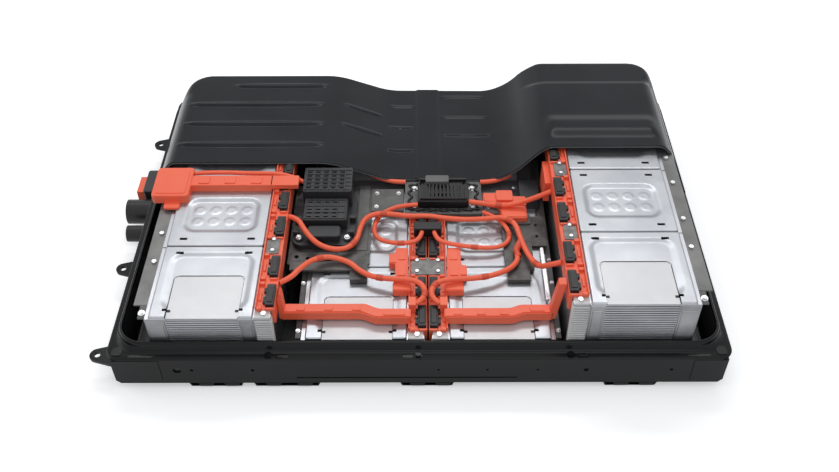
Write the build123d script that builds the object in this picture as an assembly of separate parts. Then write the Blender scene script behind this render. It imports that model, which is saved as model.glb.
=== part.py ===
"""Cut-away EV traction battery pack: steel tray, fourteen pouch-cell modules, half a cover.

Frame: +X along the pack's long side, +Y from the front rail to the rear rail, +Z up.
The pack stands on its four cross members at z = 0. Sizes are millimetres.
Places are worked out from the tray's centre and moved sideways once, in write_parts,
so that the origin lies under the middle of the whole object, connectors included.
"""
from build123d import *
from collections import namedtuple
from math import cos, pi, radians, tan
import os

# ---------------------------------------------------------------- what sets the pack's size
MODULE_ROWS = 4                 # modules in a tall column
MODULE_PITCH = 239.6            # along Y
MODULE_GAP = 3.0
LID_START = 10.0                # along X, from the module's outer end
LID_LENGTH = 246.0
COMB_GAP = 2.0                  # between the lid and the terminal comb
COMB_LENGTH = 40.0
COMB_START = LID_START + LID_LENGTH + COMB_GAP
MODULE_LENGTH = COMB_START + COMB_LENGTH
RIGHT_INNER = 360.0             # terminal side of the right column
RIGHT_OUTER = RIGHT_INNER + MODULE_LENGTH
CLAMP_WIDTH = 34.0              # side clamp, outboard of the tall columns

# ---------------------------------------------------------------- tray
TUB_WALL = 3.0
TUB_SIDE_GAP = 7.8              # between the tub wall and the outermost modules, along Y
TUB_END_GAP = 33.0              # between the tub wall and the side clamps, along X
TUB_WIDTH = MODULE_ROWS * MODULE_PITCH - MODULE_GAP + 2 * (TUB_SIDE_GAP + TUB_WALL)
TUB_LENGTH = 2 * (RIGHT_OUTER + CLAMP_WIDTH + TUB_END_GAP + TUB_WALL)
TUB_CORNER = 62.0
LIP_HEIGHT = 27.0               # upstand above the flange
FLANGE_BORDER_X = 28.0          # flange beyond the tub, at the ends
FLANGE_BORDER_Y = 34.0          # flange beyond the tub, at the sides
FLANGE_LENGTH = TUB_LENGTH + 2 * FLANGE_BORDER_X
FLANGE_WIDTH = TUB_WIDTH + 2 * FLANGE_BORDER_Y
FLANGE_TOP = 111.0
FLANGE_THICK = 5.0
FLANGE_CORNER = 34.0
FLOOR_BOTTOM = 18.0
FLOOR_THICK = 5.0
FLOOR_TOP = FLOOR_BOTTOM + FLOOR_THICK
FOOT_ROUND = 6.0                # round between the upstand and the flange

# ---------------------------------------------------------------- rails, cross members, ears
RAIL_DEPTH = 24.0
RAIL_WALL = 3.0
RAIL_SETBACK = 1.5              # rail face behind the flange edge
RAIL_END_SETBACK = 12.0
RAIL_HOLES = ((-588, 10), (-552, 4), (-404, 4), (47, 3), (166, 3), (288, 3), (405, 6), (612, 4))
MEMBER_SPANS = ((-570, -432), (-410, -242), (-49, 88), (452, 589))
MEMBER_WALL = 3.0
MEMBER_DRAFT = 7.0              # each side leans in by this much
MEMBER_SETBACK = 6.0
EAR_THICK = 8.0
EAR_BORE = 16.0
EAR_REACH = 66.0                # bore centre beyond the tub side
EAR_LENGTH = 84.0
EAR_TOP = 66.0
EAR_TIP_RADIUS = 19.0
CONNECTOR_REACH = 100.0         # farthest connector, beyond the tub side
LEFT_REACH = TUB_LENGTH / 2 + CONNECTOR_REACH
EAR_PLACES = (("front", -470.0), ("middle", -176.0), ("rear", 352.0))

# ---------------------------------------------------------------- modules
MODULE_DEPTH = MODULE_PITCH - MODULE_GAP
CELL_PITCH = 8.0
FIN_DEPTH = 5.0
FIN_START = 49.0                # fins run from here, from the module's outer end
FIN_LENGTH = 173.0
LID_THICK = 7.0
DISH_DEPTH = 3.5
WINDOW_DEPTH = 1.5
WINDOW_LENGTH = 137.0
WINDOW_CORNER = 12.0
BOSS_DIAMETER = 27.0
BOSS_PITCH_X = 41.0
BOSS_PITCH_Y = 42.0
SLOT_LENGTH = 14.0
SLOT_WIDTH = 6.5
SLOT_SPACING = 172.5
SLOT_FROM_SEAM = 23.5
COMB_DROP = 6.0                 # terminal side lies this far below the lid
COMB_SETBACK = 3.0

LEFT_INNER = -351.0             # terminal sides of the other columns
CENTRE_LEFT_INNER = 12.0
CENTRE_RIGHT_INNER = 32.0
Column = namedtuple("Column", "name outer side top rows")
# outer: x of the module's outer end; side: +1 if its terminals are on +X
COLUMNS = (
    Column("left", LEFT_INNER - MODULE_LENGTH, 1, 214.6, MODULE_ROWS),
    Column("centre_left", CENTRE_LEFT_INNER - MODULE_LENGTH, 1, 136.7, 3),
    Column("centre_right", CENTRE_RIGHT_INNER + MODULE_LENGTH, -1, 136.7, 3),
    Column("right", RIGHT_OUTER, -1, 262.0, MODULE_ROWS),
)
LEFT, CENTRE_LEFT, CENTRE_RIGHT, RIGHT = COLUMNS

# ---------------------------------------------------------------- terminal strips
STRIP_INSET = 2.0               # begins this far over the comb
STRIP_OVERHANG = 8.0            # reaches this far beyond the module
STRIP_START = COMB_START + STRIP_INSET
STRIP_END = MODULE_LENGTH + STRIP_OVERHANG
STRIP_THICK = 5.0
STRIP_FRONT = 24.0              # strip begins this far behind the module front
STRIP_WALL = 3.0
STRIP_RISE = 9.0
CAP_WIDTH = 21.0
CAP_INSET = 2.0                 # from the strip's outer edge
CAP_END = STRIP_END - CAP_INSET
CAP_START = CAP_END - CAP_WIDTH
CAP_HEIGHT = 11.0
CAP_LENGTH = 66.0
CAP_OFFSETS = (31.0, 128.0)     # caps on one module, from its front
CAP_ROUND = 2.5

# ---------------------------------------------------------------- cover
COVER_CUT = 68.8                # y of the sawn edge
COVER_SHEET = 2.5
COVER_SIDE_DRAFT = 18.5         # degrees
COVER_BACK_DRAFT = 8.0          # degrees
COVER_FOOT_BORDER_X = 15.0      # foot of its walls beyond the tub
COVER_FOOT_BORDER_Y = 17.5
COVER_FOOT_HALF_LENGTH = TUB_LENGTH / 2 + COVER_FOOT_BORDER_X
COVER_FOOT_HALF_WIDTH = TUB_WIDTH / 2 + COVER_FOOT_BORDER_Y
COVER_FOOT_CORNER = 70.0
COVER_TOP_CORNER = 46.0
COVER_RIM = 11.0
COVER_HIGH = 300.0
PLATEAU_TOP = 228.0
VALLEY_TOP = 163.5
BULGE_TOP = 282.0
SEAT = 0.3                      # clearance between pieces that are not bolted face to face

# ---------------------------------------------------------------- clamps and links
CLAMP_DROP = 8.0                # its top below the lid
CLAMP_WALL = 4.0
CLAMP_FRONT = 46.0
BOLT_OFFSETS = (49.0, 187.0)    # clamp bolts on one module, from its front
BOLT_HEAD = 13.0
BOLT_HEAD_HIGH = 6.0
FLANGE_BOLTS = (-363.0, -2.0, 364.0)
FLANGE_BOLT_INSET = 12.0
LINK_LENGTH = 60.0              # along Y, across a module seam
LINK_WIDTH = 32.0
LINK_INSET = 1.0                # from the module's end
LINK_END = MODULE_LENGTH - LINK_INSET
LINK_START = LINK_END - LINK_WIDTH
LINK_THICK = 3.0
SCREW_HEAD = 9.0
SCREW_HEAD_HIGH = 3.5

# ---------------------------------------------------------------- centre equipment
DECK_TOP = 148.0                # brackets on the low modules
DECK_THICK = 4.0
BOX_BASE_TOP = 164.0            # junction box
BOX_LOW_TOP = 198.0
BOX_HIGH_TOP = 219.0
PLATE_BOTTOM = 153.0            # service disconnect plate
PLATE_TOP = 161.0
PLUG_TOP = 187.0

# ---------------------------------------------------------------- busbar covers
DUCT_WIDTH = 30.0
DUCT_HEIGHT = 22.0
DUCT_WALL = 2.0
LEFT_DUCT = ((-338, -404), (-135, -404), (-103, -420), (-20, -420))
RIGHT_DUCT = ((62, -419), (226, -419), (252, -408), (326, -408))

# ---------------------------------------------------------------- connectors
LARGE_SOCKET = (52.0, 62.0, 70.0)      # y, height of axis, diameter
SMALL_SOCKET = (-42.0, 66.0, 46.0)

# ---------------------------------------------------------------- cables
CABLE = 14.0
THIN_CABLE = 12.0
BEND_SHARE = 0.45               # share of the shorter run that a bend may take
BOOT_Y = -386.0                 # orange boots at the centre strips' front ends
BOOT_TOP = 168.0
BOOT_LENGTH = 26.0
STRIP_FACE = 342.7              # cables end here on the tall strips' skirts
RIGHT_STRIP_FACE = 351.7
ROUTES = {
    "main_crossing": (CABLE, ((-STRIP_FACE, -115, 198), (-318, -122, 198), (-300, -158, 194), (-274, -191, 184),
                              (-246, -205, 174), (-212, -209, 168), (-181, -199, 166), (-161, -167, 166),
                              (-156, -126, 166), (-145, -90, 167), (-116, -72, 169), (-73, -76, 170),
                              (-25, -86, 170), (22, -84, 171), (68, -94, 171), (122, -99, 170),
                              (180, -96, 170), (228, -88, 170), (256, -112, 169), (264, -156, 167),
                              (274, -204, 166), (290, -252, 168), (307, -285, 182), (321, -308, 212),
                              (RIGHT_STRIP_FACE, -316, 230))),
    "left_front": (CABLE, ((-STRIP_FACE, -352, 198), (-318, -338, 198), (-300, -300, 192), (-272, -256, 180),
                           (-236, -236, 171), (-202, -240, 166), (-174, -252, 163), (-152, -277, 162),
                           (-119, -299, 162), (-79, -309, 165), (-38, -314, 169), (-4, -322, 171),
                           (16, -346, 169), (12, -375, 163), (-7.7, BOOT_Y, 158))),
    "left_rear": (THIN_CABLE, ((-3.3, -40, 171), (-44, -40, 168), (-82, -46, 158), (-108, -66, 152),
                               (-119, -98, 150), (-119, -134, 153), (-102, -164, 158), (-66, -179, 162),
                               (-28, -182, 165), (2, -170, 165), (8, -140.3, 165))),
    "right_rear": (THIN_CABLE, ((40, -140.3, 165), (46, -170, 165), (78, -184, 165), (120, -191, 162),
                                (168, -195, 159), (212, -190, 157), (238, -164, 156), (238, -122, 155),
                                (212, -76, 156), (172.3, -56, 157))),
    "right_front": (CABLE, ((51.7, BOOT_Y, 158), (33, -375, 163), (30, -347, 169), (49, -323, 171),
                            (88, -314, 169), (140, -307, 163), (192, -293, 161), (233, -270, 160),
                            (258, -236, 160), (252, -207.3, 160))),
    "right_upper": (CABLE, ((135.3, -32, 174), (190, -44, 175), (240, -53, 178), (286, -46, 188),
                            (320, -54, 212), (RIGHT_STRIP_FACE, -58, 234))),
    "left_upper": (THIN_CABLE, ((-607.7, 22, 231), (-540, 29, 229), (-462, 21, 231), (-395, 19, 233),
                                (-345, 17, 226), (-312.3, 13, 206))),
}


def slab(x_range, y_range, z_range):
    """Plain box between three pairs of limits."""
    size = [high - low for low, high in (x_range, y_range, z_range)]
    middle = [(low + high) / 2 for low, high in (x_range, y_range, z_range)]
    return Pos(*middle) * Box(*size)


def rounded_slab(x_range, y_range, z_range, corner):
    """Box with rounded upright edges."""
    outline = RectangleRounded(x_range[1] - x_range[0], y_range[1] - y_range[0], corner)
    middle = ((x_range[0] + x_range[1]) / 2, (y_range[0] + y_range[1]) / 2, z_range[0])
    return Pos(*middle) * extrude(outline, z_range[1] - z_range[0])


def soft_box(x_range, y_range, z_range, corner, edge):
    """Rounded box whose upper edge is rounded too."""
    body = rounded_slab(x_range, y_range, z_range, corner)
    return fillet(body.faces().sort_by(Axis.Z)[-1].edges(), edge)


def disc(x, y, z_bottom, z_top, diameter):
    """Upright cylinder."""
    height = z_top - z_bottom
    return Pos(x, y, z_bottom + height / 2) * Cylinder(diameter / 2, height)


def bar_x(x_bottom, x_top, y, z, diameter):
    """Cylinder lying along X."""
    length = x_top - x_bottom
    return Pos(x_bottom + length / 2, y, z) * Rot(0, 90, 0) * Cylinder(diameter / 2, length)


def along(column, start, end):
    """X limits of a stretch measured from a module's outer end."""
    ends = (column.outer + column.side * start, column.outer + column.side * end)
    return (min(ends), max(ends))


def row_front(row):
    """Y of the front face of one row of modules."""
    return (row - 2) * MODULE_PITCH + MODULE_GAP / 2


# ---------------------------------------------------------------- tray and frame
def make_tray():
    tub = extrude(RectangleRounded(TUB_LENGTH, TUB_WIDTH, TUB_CORNER),
                  FLANGE_TOP + LIP_HEIGHT - FLOOR_BOTTOM)
    tub = Pos(0, 0, FLOOR_BOTTOM) * tub
    flange = extrude(RectangleRounded(FLANGE_LENGTH, FLANGE_WIDTH, FLANGE_CORNER), FLANGE_THICK)
    shell = tub + Pos(0, 0, FLANGE_TOP - FLANGE_THICK) * flange
    foot = shell.edges().filter_by_position(Axis.Z, FLANGE_TOP - 0.1, FLANGE_TOP + 0.1)
    foot = foot.filter_by(lambda edge: abs(edge.center().Y) < TUB_WIDTH / 2 + 1
                          and abs(edge.center().X) < TUB_LENGTH / 2 + 1)
    shell = fillet(foot, FOOT_ROUND)
    inside = RectangleRounded(TUB_LENGTH - 2 * TUB_WALL, TUB_WIDTH - 2 * TUB_WALL,
                              TUB_CORNER - TUB_WALL)
    return shell - Pos(0, 0, FLOOR_TOP) * extrude(inside, FLANGE_TOP + LIP_HEIGHT)


def make_rail(side):
    """C-section side rail under the flange, open towards the tub."""
    face = FLANGE_WIDTH / 2 - RAIL_SETBACK
    half = FLANGE_LENGTH / 2 - RAIL_END_SETBACK
    top = FLANGE_TOP - FLANGE_THICK
    outer = slab((-half, half), (face - RAIL_DEPTH, face), (FLOOR_BOTTOM, top))
    hollow = slab((-half - 1, half + 1), (face - RAIL_DEPTH - 1, face - RAIL_WALL),
                  (FLOOR_BOTTOM + RAIL_WALL, top - RAIL_WALL))
    rail = outer - hollow
    ends = rail.edges().filter_by(Axis.Y).filter_by_position(Axis.Z, FLOOR_BOTTOM - 1, FLOOR_BOTTOM + 1)
    rail = chamfer(ends, RAIL_END_SETBACK - 1)
    holes = [Pos(x, face, (FLOOR_BOTTOM + top) / 2 + 6) * Rot(90, 0, 0) * Cylinder(radius, 4 * RAIL_WALL)
             for x, radius in RAIL_HOLES]
    rail = rail - holes
    return rail if side > 0 else mirror(rail, Plane.XZ)


def make_cross_members():
    """Hat-shaped skids across the underside."""
    half = FLANGE_WIDTH / 2 - MEMBER_SETBACK
    members = []
    for left, right in MEMBER_SPANS:
        outline = [(left + MEMBER_DRAFT, 0), (right - MEMBER_DRAFT, 0), (right, FLOOR_BOTTOM), (left, FLOOR_BOTTOM)]
        inner = [(left + MEMBER_DRAFT + MEMBER_WALL, MEMBER_WALL), (right - MEMBER_DRAFT - MEMBER_WALL, MEMBER_WALL),
                 (right - MEMBER_WALL, FLOOR_BOTTOM - MEMBER_WALL), (left + MEMBER_WALL, FLOOR_BOTTOM - MEMBER_WALL)]
        section = make_face(Polyline(*outline, close=True)) - make_face(Polyline(*inner, close=True))
        members.append(extrude(Plane.XZ * section, half, both=True))
    return members


def make_ear(y):
    """Forked steel ear, welded to the tub side, with one mounting bore."""
    root = -TUB_LENGTH / 2
    bore_x = root - EAR_REACH
    base = slab((root - 12, root), (y - EAR_LENGTH / 2, y + EAR_LENGTH / 2), (EAR_TOP - 34, EAR_TOP))
    outline = make_hull([Pos(bore_x, y) * Circle(EAR_TIP_RADIUS).edge(),
                         *(Pos(root - 4, y) * Rectangle(8, EAR_LENGTH - 10)).edges()])
    plate = Pos(0, 0, EAR_TOP - EAR_THICK) * extrude(outline, EAR_THICK)
    return base + plate - disc(bore_x, y, EAR_TOP - 2 * EAR_THICK, EAR_TOP + 1, EAR_BORE)


# ---------------------------------------------------------------- modules
def end_face(y, top, turn, finned):
    """YZ points of one end of a stack, bottom to top: cell edges, or flat behind a tie plate."""
    if not finned:
        return [(y, FLOOR_TOP), (y, top)]
    count = round((top - FLOOR_TOP) / CELL_PITCH)
    pitch = (top - FLOOR_TOP) / count
    points = []
    for layer in range(count):
        z = FLOOR_TOP + layer * pitch
        points += [(y + turn * FIN_DEPTH, z), (y, z + pitch * 0.35), (y, z + pitch * 0.8)]
    return points + [(y + turn * FIN_DEPTH, top)]


def make_stack(column, row):
    """Pouch cells between their frames: finned outer end, plain corners, terminal comb."""
    front = row_front(row)
    back = front + MODULE_DEPTH
    top = column.top - LID_THICK
    outline = end_face(front, top, 1, row == 0) + list(reversed(end_face(back, top, -1, row == column.rows - 1)))
    section = make_face(Polyline(*outline, close=True))
    cells = extrude(Plane.YZ * section, FIN_LENGTH)
    cells = Pos(along(column, FIN_START, FIN_START + FIN_LENGTH)[0], 0, 0) * cells
    ends = [slab(along(column, 0, FIN_START), (front, back), (FLOOR_TOP, top)),
            slab(along(column, FIN_START + FIN_LENGTH, COMB_START), (front, back), (FLOOR_TOP, top))]
    comb = slab(along(column, COMB_START, MODULE_LENGTH), (front + COMB_SETBACK, back - COMB_SETBACK),
                (FLOOR_TOP, column.top - COMB_DROP))
    return cells + ends + comb


def make_lid(column, row):
    """Pressed lid: end rows have a stepped window, middle rows a dish with eight bosses."""
    front = row_front(row)
    middle_y = front + MODULE_DEPTH / 2
    limits = along(column, LID_START, LID_START + LID_LENGTH)
    window = along(column, FIN_START, FIN_START + FIN_LENGTH)
    middle_x = (window[0] + window[1]) / 2
    lid = rounded_slab(limits, (front, front + MODULE_DEPTH), (column.top - LID_THICK, column.top), 4)
    if row in (0, column.rows - 1):
        turn = 1 if row == 0 else -1
        dish = Pos(middle_x, middle_y, column.top) * extrude(
            RectangleRounded(FIN_LENGTH + 40, MODULE_DEPTH - 44, 26), -DISH_DEPTH, taper=50)
        edge = middle_y - turn * MODULE_DEPTH / 2
        window_y = edge + turn * (WINDOW_LENGTH / 2 - WINDOW_CORNER)
        panel = Pos(middle_x, window_y, column.top - DISH_DEPTH - WINDOW_DEPTH) * extrude(
            RectangleRounded(FIN_LENGTH - 1, WINDOW_LENGTH + 2 * WINDOW_CORNER, WINDOW_CORNER), LID_THICK)
        lid = lid - dish - panel
    else:
        dish = Pos(middle_x, middle_y - 5, column.top) * extrude(
            RectangleRounded(FIN_LENGTH + 8, MODULE_DEPTH - 118, 24), -DISH_DEPTH, taper=50)
        lid = lid - dish
        for across in range(4):
            for deep in range(2):
                x = middle_x + (across - 1.5) * BOSS_PITCH_X
                y = middle_y - 5 + (deep - 0.5) * BOSS_PITCH_Y
                lid = lid + disc(x, y, column.top - DISH_DEPTH - 1, column.top - DISH_DEPTH + 1.2, BOSS_DIAMETER)
    for x in (middle_x - SLOT_SPACING / 2, middle_x + SLOT_SPACING / 2):
        for y in (front + SLOT_FROM_SEAM, front + MODULE_DEPTH - SLOT_FROM_SEAM):
            lid = lid - slab((x - SLOT_LENGTH / 2, x + SLOT_LENGTH / 2), (y - SLOT_WIDTH / 2, y + SLOT_WIDTH / 2),
                             (column.top - LID_THICK - 1, column.top + 1))
    return lid


def make_strip(column):
    """Orange carrier along a column's terminals: a shallow channel with an outer wall."""
    front = row_front(0) + STRIP_FRONT
    back = row_front(column.rows - 1) + MODULE_DEPTH - STRIP_FRONT
    seat = column.top - COMB_DROP
    base = slab(along(column, STRIP_START, STRIP_END), (front, back), (seat, seat + STRIP_THICK))
    wall = slab(along(column, STRIP_START, STRIP_START + STRIP_WALL), (front, back),
                (seat, seat + STRIP_THICK + STRIP_RISE))
    skirt = slab(along(column, MODULE_LENGTH + SEAT, STRIP_END), (front, back), (seat - 42, seat))
    strip = base + wall + skirt
    if column in (CENTRE_LEFT, CENTRE_RIGHT):
        strip += slab(along(column, STRIP_START, CAP_START - 5), (BOOT_Y - BOOT_LENGTH / 2, BOOT_Y + BOOT_LENGTH / 2),
                      (seat, BOOT_TOP))
    return strip


def make_caps(column):
    """Black caps over the terminals, two on each module."""
    caps = []
    seat = column.top - COMB_DROP + STRIP_THICK
    for row in range(column.rows):
        for offset in CAP_OFFSETS:
            start = row_front(row) + offset
            caps.append(soft_box(along(column, CAP_START, CAP_END), (start, start + CAP_LENGTH),
                                 (seat, seat + CAP_HEIGHT), CAP_ROUND, CAP_ROUND - 1))
    return caps


# ---------------------------------------------------------------- clamps, links and screws
def clamp_span(column):
    """Y limits of a column's side clamp."""
    return (row_front(0) + CLAMP_FRONT, row_front(column.rows - 1) + MODULE_DEPTH - CLAMP_FRONT)


def make_clamp(column):
    """Z-section side clamp: ledge at the lids, web down to a foot on the tray floor."""
    limits = clamp_span(column)
    top = column.top - CLAMP_DROP
    ledge = slab(along(column, -CLAMP_WIDTH, -SEAT), limits, (top - CLAMP_WALL, top))
    web = slab(along(column, -CLAMP_WALL - SEAT, -SEAT), limits, (FLOOR_TOP, top))
    foot = slab(along(column, -CLAMP_WIDTH, -SEAT), limits, (FLOOR_TOP, FLOOR_TOP + CLAMP_WALL))
    return ledge + web + foot


def clamp_bolt_places(column):
    """Bolt centres on a side clamp that lie between its ends."""
    low, high = clamp_span(column)
    x = column.outer - column.side * CLAMP_WIDTH / 3
    places = []
    for row in range(column.rows):
        for offset in BOLT_OFFSETS:
            y = row_front(row) + offset
            if low + BOLT_HEAD < y < high - BOLT_HEAD:
                places.append((x, y))
    return places


def bolt_head(x, y, seat, width, height):
    """Hexagon head on its seat."""
    return Pos(x, y, seat) * extrude(RegularPolygon(width / 2, 6), height)


def make_module_bolts():
    bolts = []
    for column in (LEFT, RIGHT):
        seat = column.top - CLAMP_DROP
        bolts += [bolt_head(x, y, seat, BOLT_HEAD, BOLT_HEAD_HIGH) for x, y in clamp_bolt_places(column)]
    for column in COLUMNS:
        x = sum(along(column, LINK_START, LINK_END)) / 2
        y = row_front(0) + (STRIP_FRONT + COMB_SETBACK) / 2
        bolts.append(bolt_head(x, y, column.top - COMB_DROP, BOLT_HEAD, BOLT_HEAD_HIGH))
    return bolts


def make_flange_bolts():
    y = -FLANGE_WIDTH / 2 + FLANGE_BOLT_INSET
    return [bolt_head(x, y, FLANGE_TOP, BOLT_HEAD, BOLT_HEAD_HIGH) for x in FLANGE_BOLTS]


def link_seams(column):
    """Module seams whose links are not hidden by the service plate."""
    return [(row - 1) * MODULE_PITCH for row in range(column.rows - 1)]


def make_links(columns):
    """Link plates over the module seams that stay open to view, wide where two columns meet."""
    plates = []
    seat = columns[0].top - COMB_DROP + STRIP_THICK
    for y in link_seams(columns[0])[:2 if len(columns) == 1 else 1]:
        reach = [along(column, LINK_START, LINK_END) for column in columns]
        limits = (min(low for low, _ in reach), max(high for _, high in reach))
        plates.append(slab(limits, (y - LINK_LENGTH / 2, y + LINK_LENGTH / 2), (seat, seat + LINK_THICK)))
    return plates


def make_link_screws():
    screws = []
    for columns in ((LEFT,), (RIGHT,), (CENTRE_LEFT, CENTRE_RIGHT)):
        seat = columns[0].top - COMB_DROP + STRIP_THICK + LINK_THICK
        for y in link_seams(columns[0])[:2 if len(columns) == 1 else 1]:
            for column in columns:
                x = sum(along(column, LINK_START, LINK_END)) / 2
                screws += [disc(x, y + turn * LINK_LENGTH * 0.32, seat, seat + SCREW_HEAD_HIGH, SCREW_HEAD)
                           for turn in (-1, 1)]
    return screws


# ---------------------------------------------------------------- busbar covers
def duct(route, width, z_range):
    """Flat cover along a plan route, open underneath."""
    line = Polyline(*route)
    outer = trace(line, width)
    inner = trace(line, width - 2 * DUCT_WALL)
    body = Pos(0, 0, z_range[0]) * extrude(outer, z_range[1] - z_range[0])
    hollow = Pos(0, 0, z_range[0] - DUCT_WALL) * extrude(inner, z_range[1] - z_range[0])
    return body - hollow


def make_left_busbar_cover():
    """Low duct in front of the centre modules, with an upright beside the left column."""
    bottom = CENTRE_LEFT.top + SEAT
    body = duct(LEFT_DUCT, DUCT_WIDTH, (bottom, bottom + DUCT_HEIGHT + 5))
    x, y = LEFT_DUCT[0]
    upright = make_face(Polyline((x - 4, bottom), (x + 12, bottom), (x + 5, 226), (x, 226), (x - 4, 214), close=True))
    return body + Pos(0, y, 0) * extrude(Plane.XZ * upright, DUCT_WIDTH / 2 - 1, both=True)


def make_right_busbar_cover():
    """Mirror-like duct, with a sloping riser up to the tall right column."""
    bottom = CENTRE_RIGHT.top + SEAT
    body = duct(RIGHT_DUCT, DUCT_WIDTH, (bottom, bottom + DUCT_HEIGHT + 5))
    x, y = RIGHT_DUCT[-1]
    riser = make_face(Polyline((x - 12, bottom), (x + 8, bottom), (x + 24, 262), (x + 6, 262), close=True))
    return body + Pos(0, y, 0) * extrude(Plane.XZ * riser, DUCT_WIDTH / 2 - 3, both=True)


def make_top_busbar_cover():
    """Terminal box on the left column and the flat cover that leads from it to the fuses."""
    seat = LEFT.top + SEAT
    box = soft_box((-706, -608), (-80, 36), (seat, seat + 25), 8, 4)
    foot = slab((-672, -630), (-106, -79), (seat, seat + 6))
    bar = slab((-609, -392), (-34, 6), (seat, seat + 22)) + slab((-393, -322), (-34, 6), (seat + 9, seat + 22))
    return box + foot + bar


def make_rear_busbar_cover():
    """Flat cover from the service plate towards the right column."""
    bottom = CENTRE_RIGHT.top + SEAT
    return duct(((178, 4), (226, -4), (262, -8)), 28, (bottom, bottom + DUCT_HEIGHT))


def make_riser_cover():
    """Upright cover against the right column's inner side."""
    return slab((337, RIGHT_STRIP_FACE), (-28, 62), (DECK_TOP + SEAT, 236)) - slab((336, 353), (-29, 20), (0, 172))


# ---------------------------------------------------------------- centre equipment
def make_left_bracket():
    """Folded deck that carries the junction box over the gap beside the left column."""
    seat = CENTRE_LEFT.top
    deck = rounded_slab((-340, -128), (-242, 62), (DECK_TOP - DECK_THICK, DECK_TOP), 6)
    legs = [slab((-270, -140), (y, y + DECK_THICK), (seat, DECK_TOP - DECK_THICK)) for y in (-238, 56)]
    post = slab((-176, -132), (-298, -242), (seat, DECK_TOP + 3))
    deck = deck + legs + post - [disc(x, y, 0, 200, 12) for x, y in ((-318, -214), (-288, -220))]
    return deck - slab((-262, -196), (-243, -214), (DECK_TOP - DECK_THICK - 1, DECK_TOP + 1))


def make_right_bracket():
    """Folded deck beside the right column."""
    seat = CENTRE_RIGHT.top
    deck = rounded_slab((222, 336), (-262, -64), (DECK_TOP - DECK_THICK, DECK_TOP), 6)
    legs = [slab((232, 312), (y, y + DECK_THICK), (seat, DECK_TOP - DECK_THICK)) for y in (-256, -74)]
    tongue = slab((226, 284), (-298, -262), (seat, DECK_TOP))
    holes = [disc(x, y, 0, 200, 9) for x, y in ((312, -98), (294, -80), (312, -140))]
    return deck + legs + tongue - holes - slab((296, 337), (-263, -176), (0, 200))


def make_contactor_housing():
    """Rounded base and the low relay box on it."""
    base = rounded_slab((-332, -168), (-188, 20), (DECK_TOP, BOX_BASE_TOP), 26)
    box = soft_box((-306, -190), (-128, -40), (BOX_BASE_TOP, BOX_LOW_TOP), 5, 3)
    ears = [disc(x, -164, BOX_BASE_TOP, BOX_BASE_TOP + 5, 22) for x in (-314, -188)]
    slots = [slab((x, x + 12), (y, y + 5), (BOX_LOW_TOP - 3, BOX_LOW_TOP + 1))
             for x in range(-296, -208, 22) for y in range(-118, -48, 14)]
    return base + box + ears - slots


def make_fuse_housing():
    """Taller slotted box behind the relay box."""
    box = soft_box((-312, -180), (-39, 60), (BOX_BASE_TOP, BOX_HIGH_TOP), 6, 3)
    slots = [slab((x, x + 12), (y, y + 6), (BOX_HIGH_TOP - 3, BOX_HIGH_TOP + 1))
             for x in range(-302, -200, 22) for y in range(-28, 44, 16)]
    shelf = slab((-312, -180), (20.3, 60), (DECK_TOP, BOX_BASE_TOP))
    return box + shelf - slots


def make_service_plate():
    """Plate on four legs over the centre terminals, with a wavy groove round the plug."""
    plate = rounded_slab((-38, 172), (-66, 66), (PLATE_BOTTOM, PLATE_TOP), 8)
    waves = [disc(x, -56 + 3 * (k % 2), PLATE_TOP - 2, PLATE_TOP + 1, 14) for k, x in enumerate(range(-18, 160, 16))]
    legs = [slab(x, y, (CENTRE_LEFT.top, PLATE_BOTTOM)) for x in ((-38, -31), (164, 171))
            for y in ((-60, -50), (50, 60))]
    return plate - waves + legs


def make_service_plug():
    """Finned socket of the missing service plug."""
    body = soft_box((-3, 135), (-44, 46), (PLATE_TOP, PLUG_TOP), 10, 3)
    fins = [slab((x, x + 5), (y_low, y_low + 24), (PLUG_TOP - 6, PLUG_TOP + 1))
            for x in range(28, 108, 11) for y_low in (-36, -6)]
    return body - fins - [disc(x, y, PLUG_TOP - 4, PLUG_TOP + 1, 13) for x in (8, 124) for y in (-34, 26)]


def make_battery_controller():
    seat = CENTRE_RIGHT.top + SEAT
    return soft_box((276, 330), (-22, 62), (seat, seat + 34), 5, 3)


def make_centre_connector():
    """Black block between the two centre columns, where the inner cables end."""
    top = CENTRE_LEFT.top - COMB_DROP + STRIP_THICK + CAP_HEIGHT
    return soft_box((-14, 60), (-140, -112), (top + SEAT, 176), 5, 3)


# ---------------------------------------------------------------- outside connectors
def make_socket(y, z, diameter, reach):
    """Flanged round socket on the tub's left side, open outwards."""
    wall = -TUB_LENGTH / 2
    flange = bar_x(wall - 8, wall, y, z, diameter + 12)
    barrel = bar_x(wall - reach, wall, y, z, diameter)
    bore = bar_x(wall - reach - 1, wall - reach + 26, y, z, diameter - 12)
    return flange + barrel - bore


def make_connector_housing():
    wall = -TUB_LENGTH / 2
    body = soft_box((wall - 62, wall), (92, 186), (38, 104), 8, 4)
    return body - slab((wall - 63, wall - 40), (104, 174), (50, 90))


def make_terminal_shroud():
    """Orange hook-shaped shroud that fills the housing's mouth."""
    wall = -TUB_LENGTH / 2
    body = slab((wall - 84, wall - 40 - SEAT), (106, 172), (51, 89))
    return body - slab((wall - 85, wall - 66), (118, 160), (50, 76))


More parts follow.
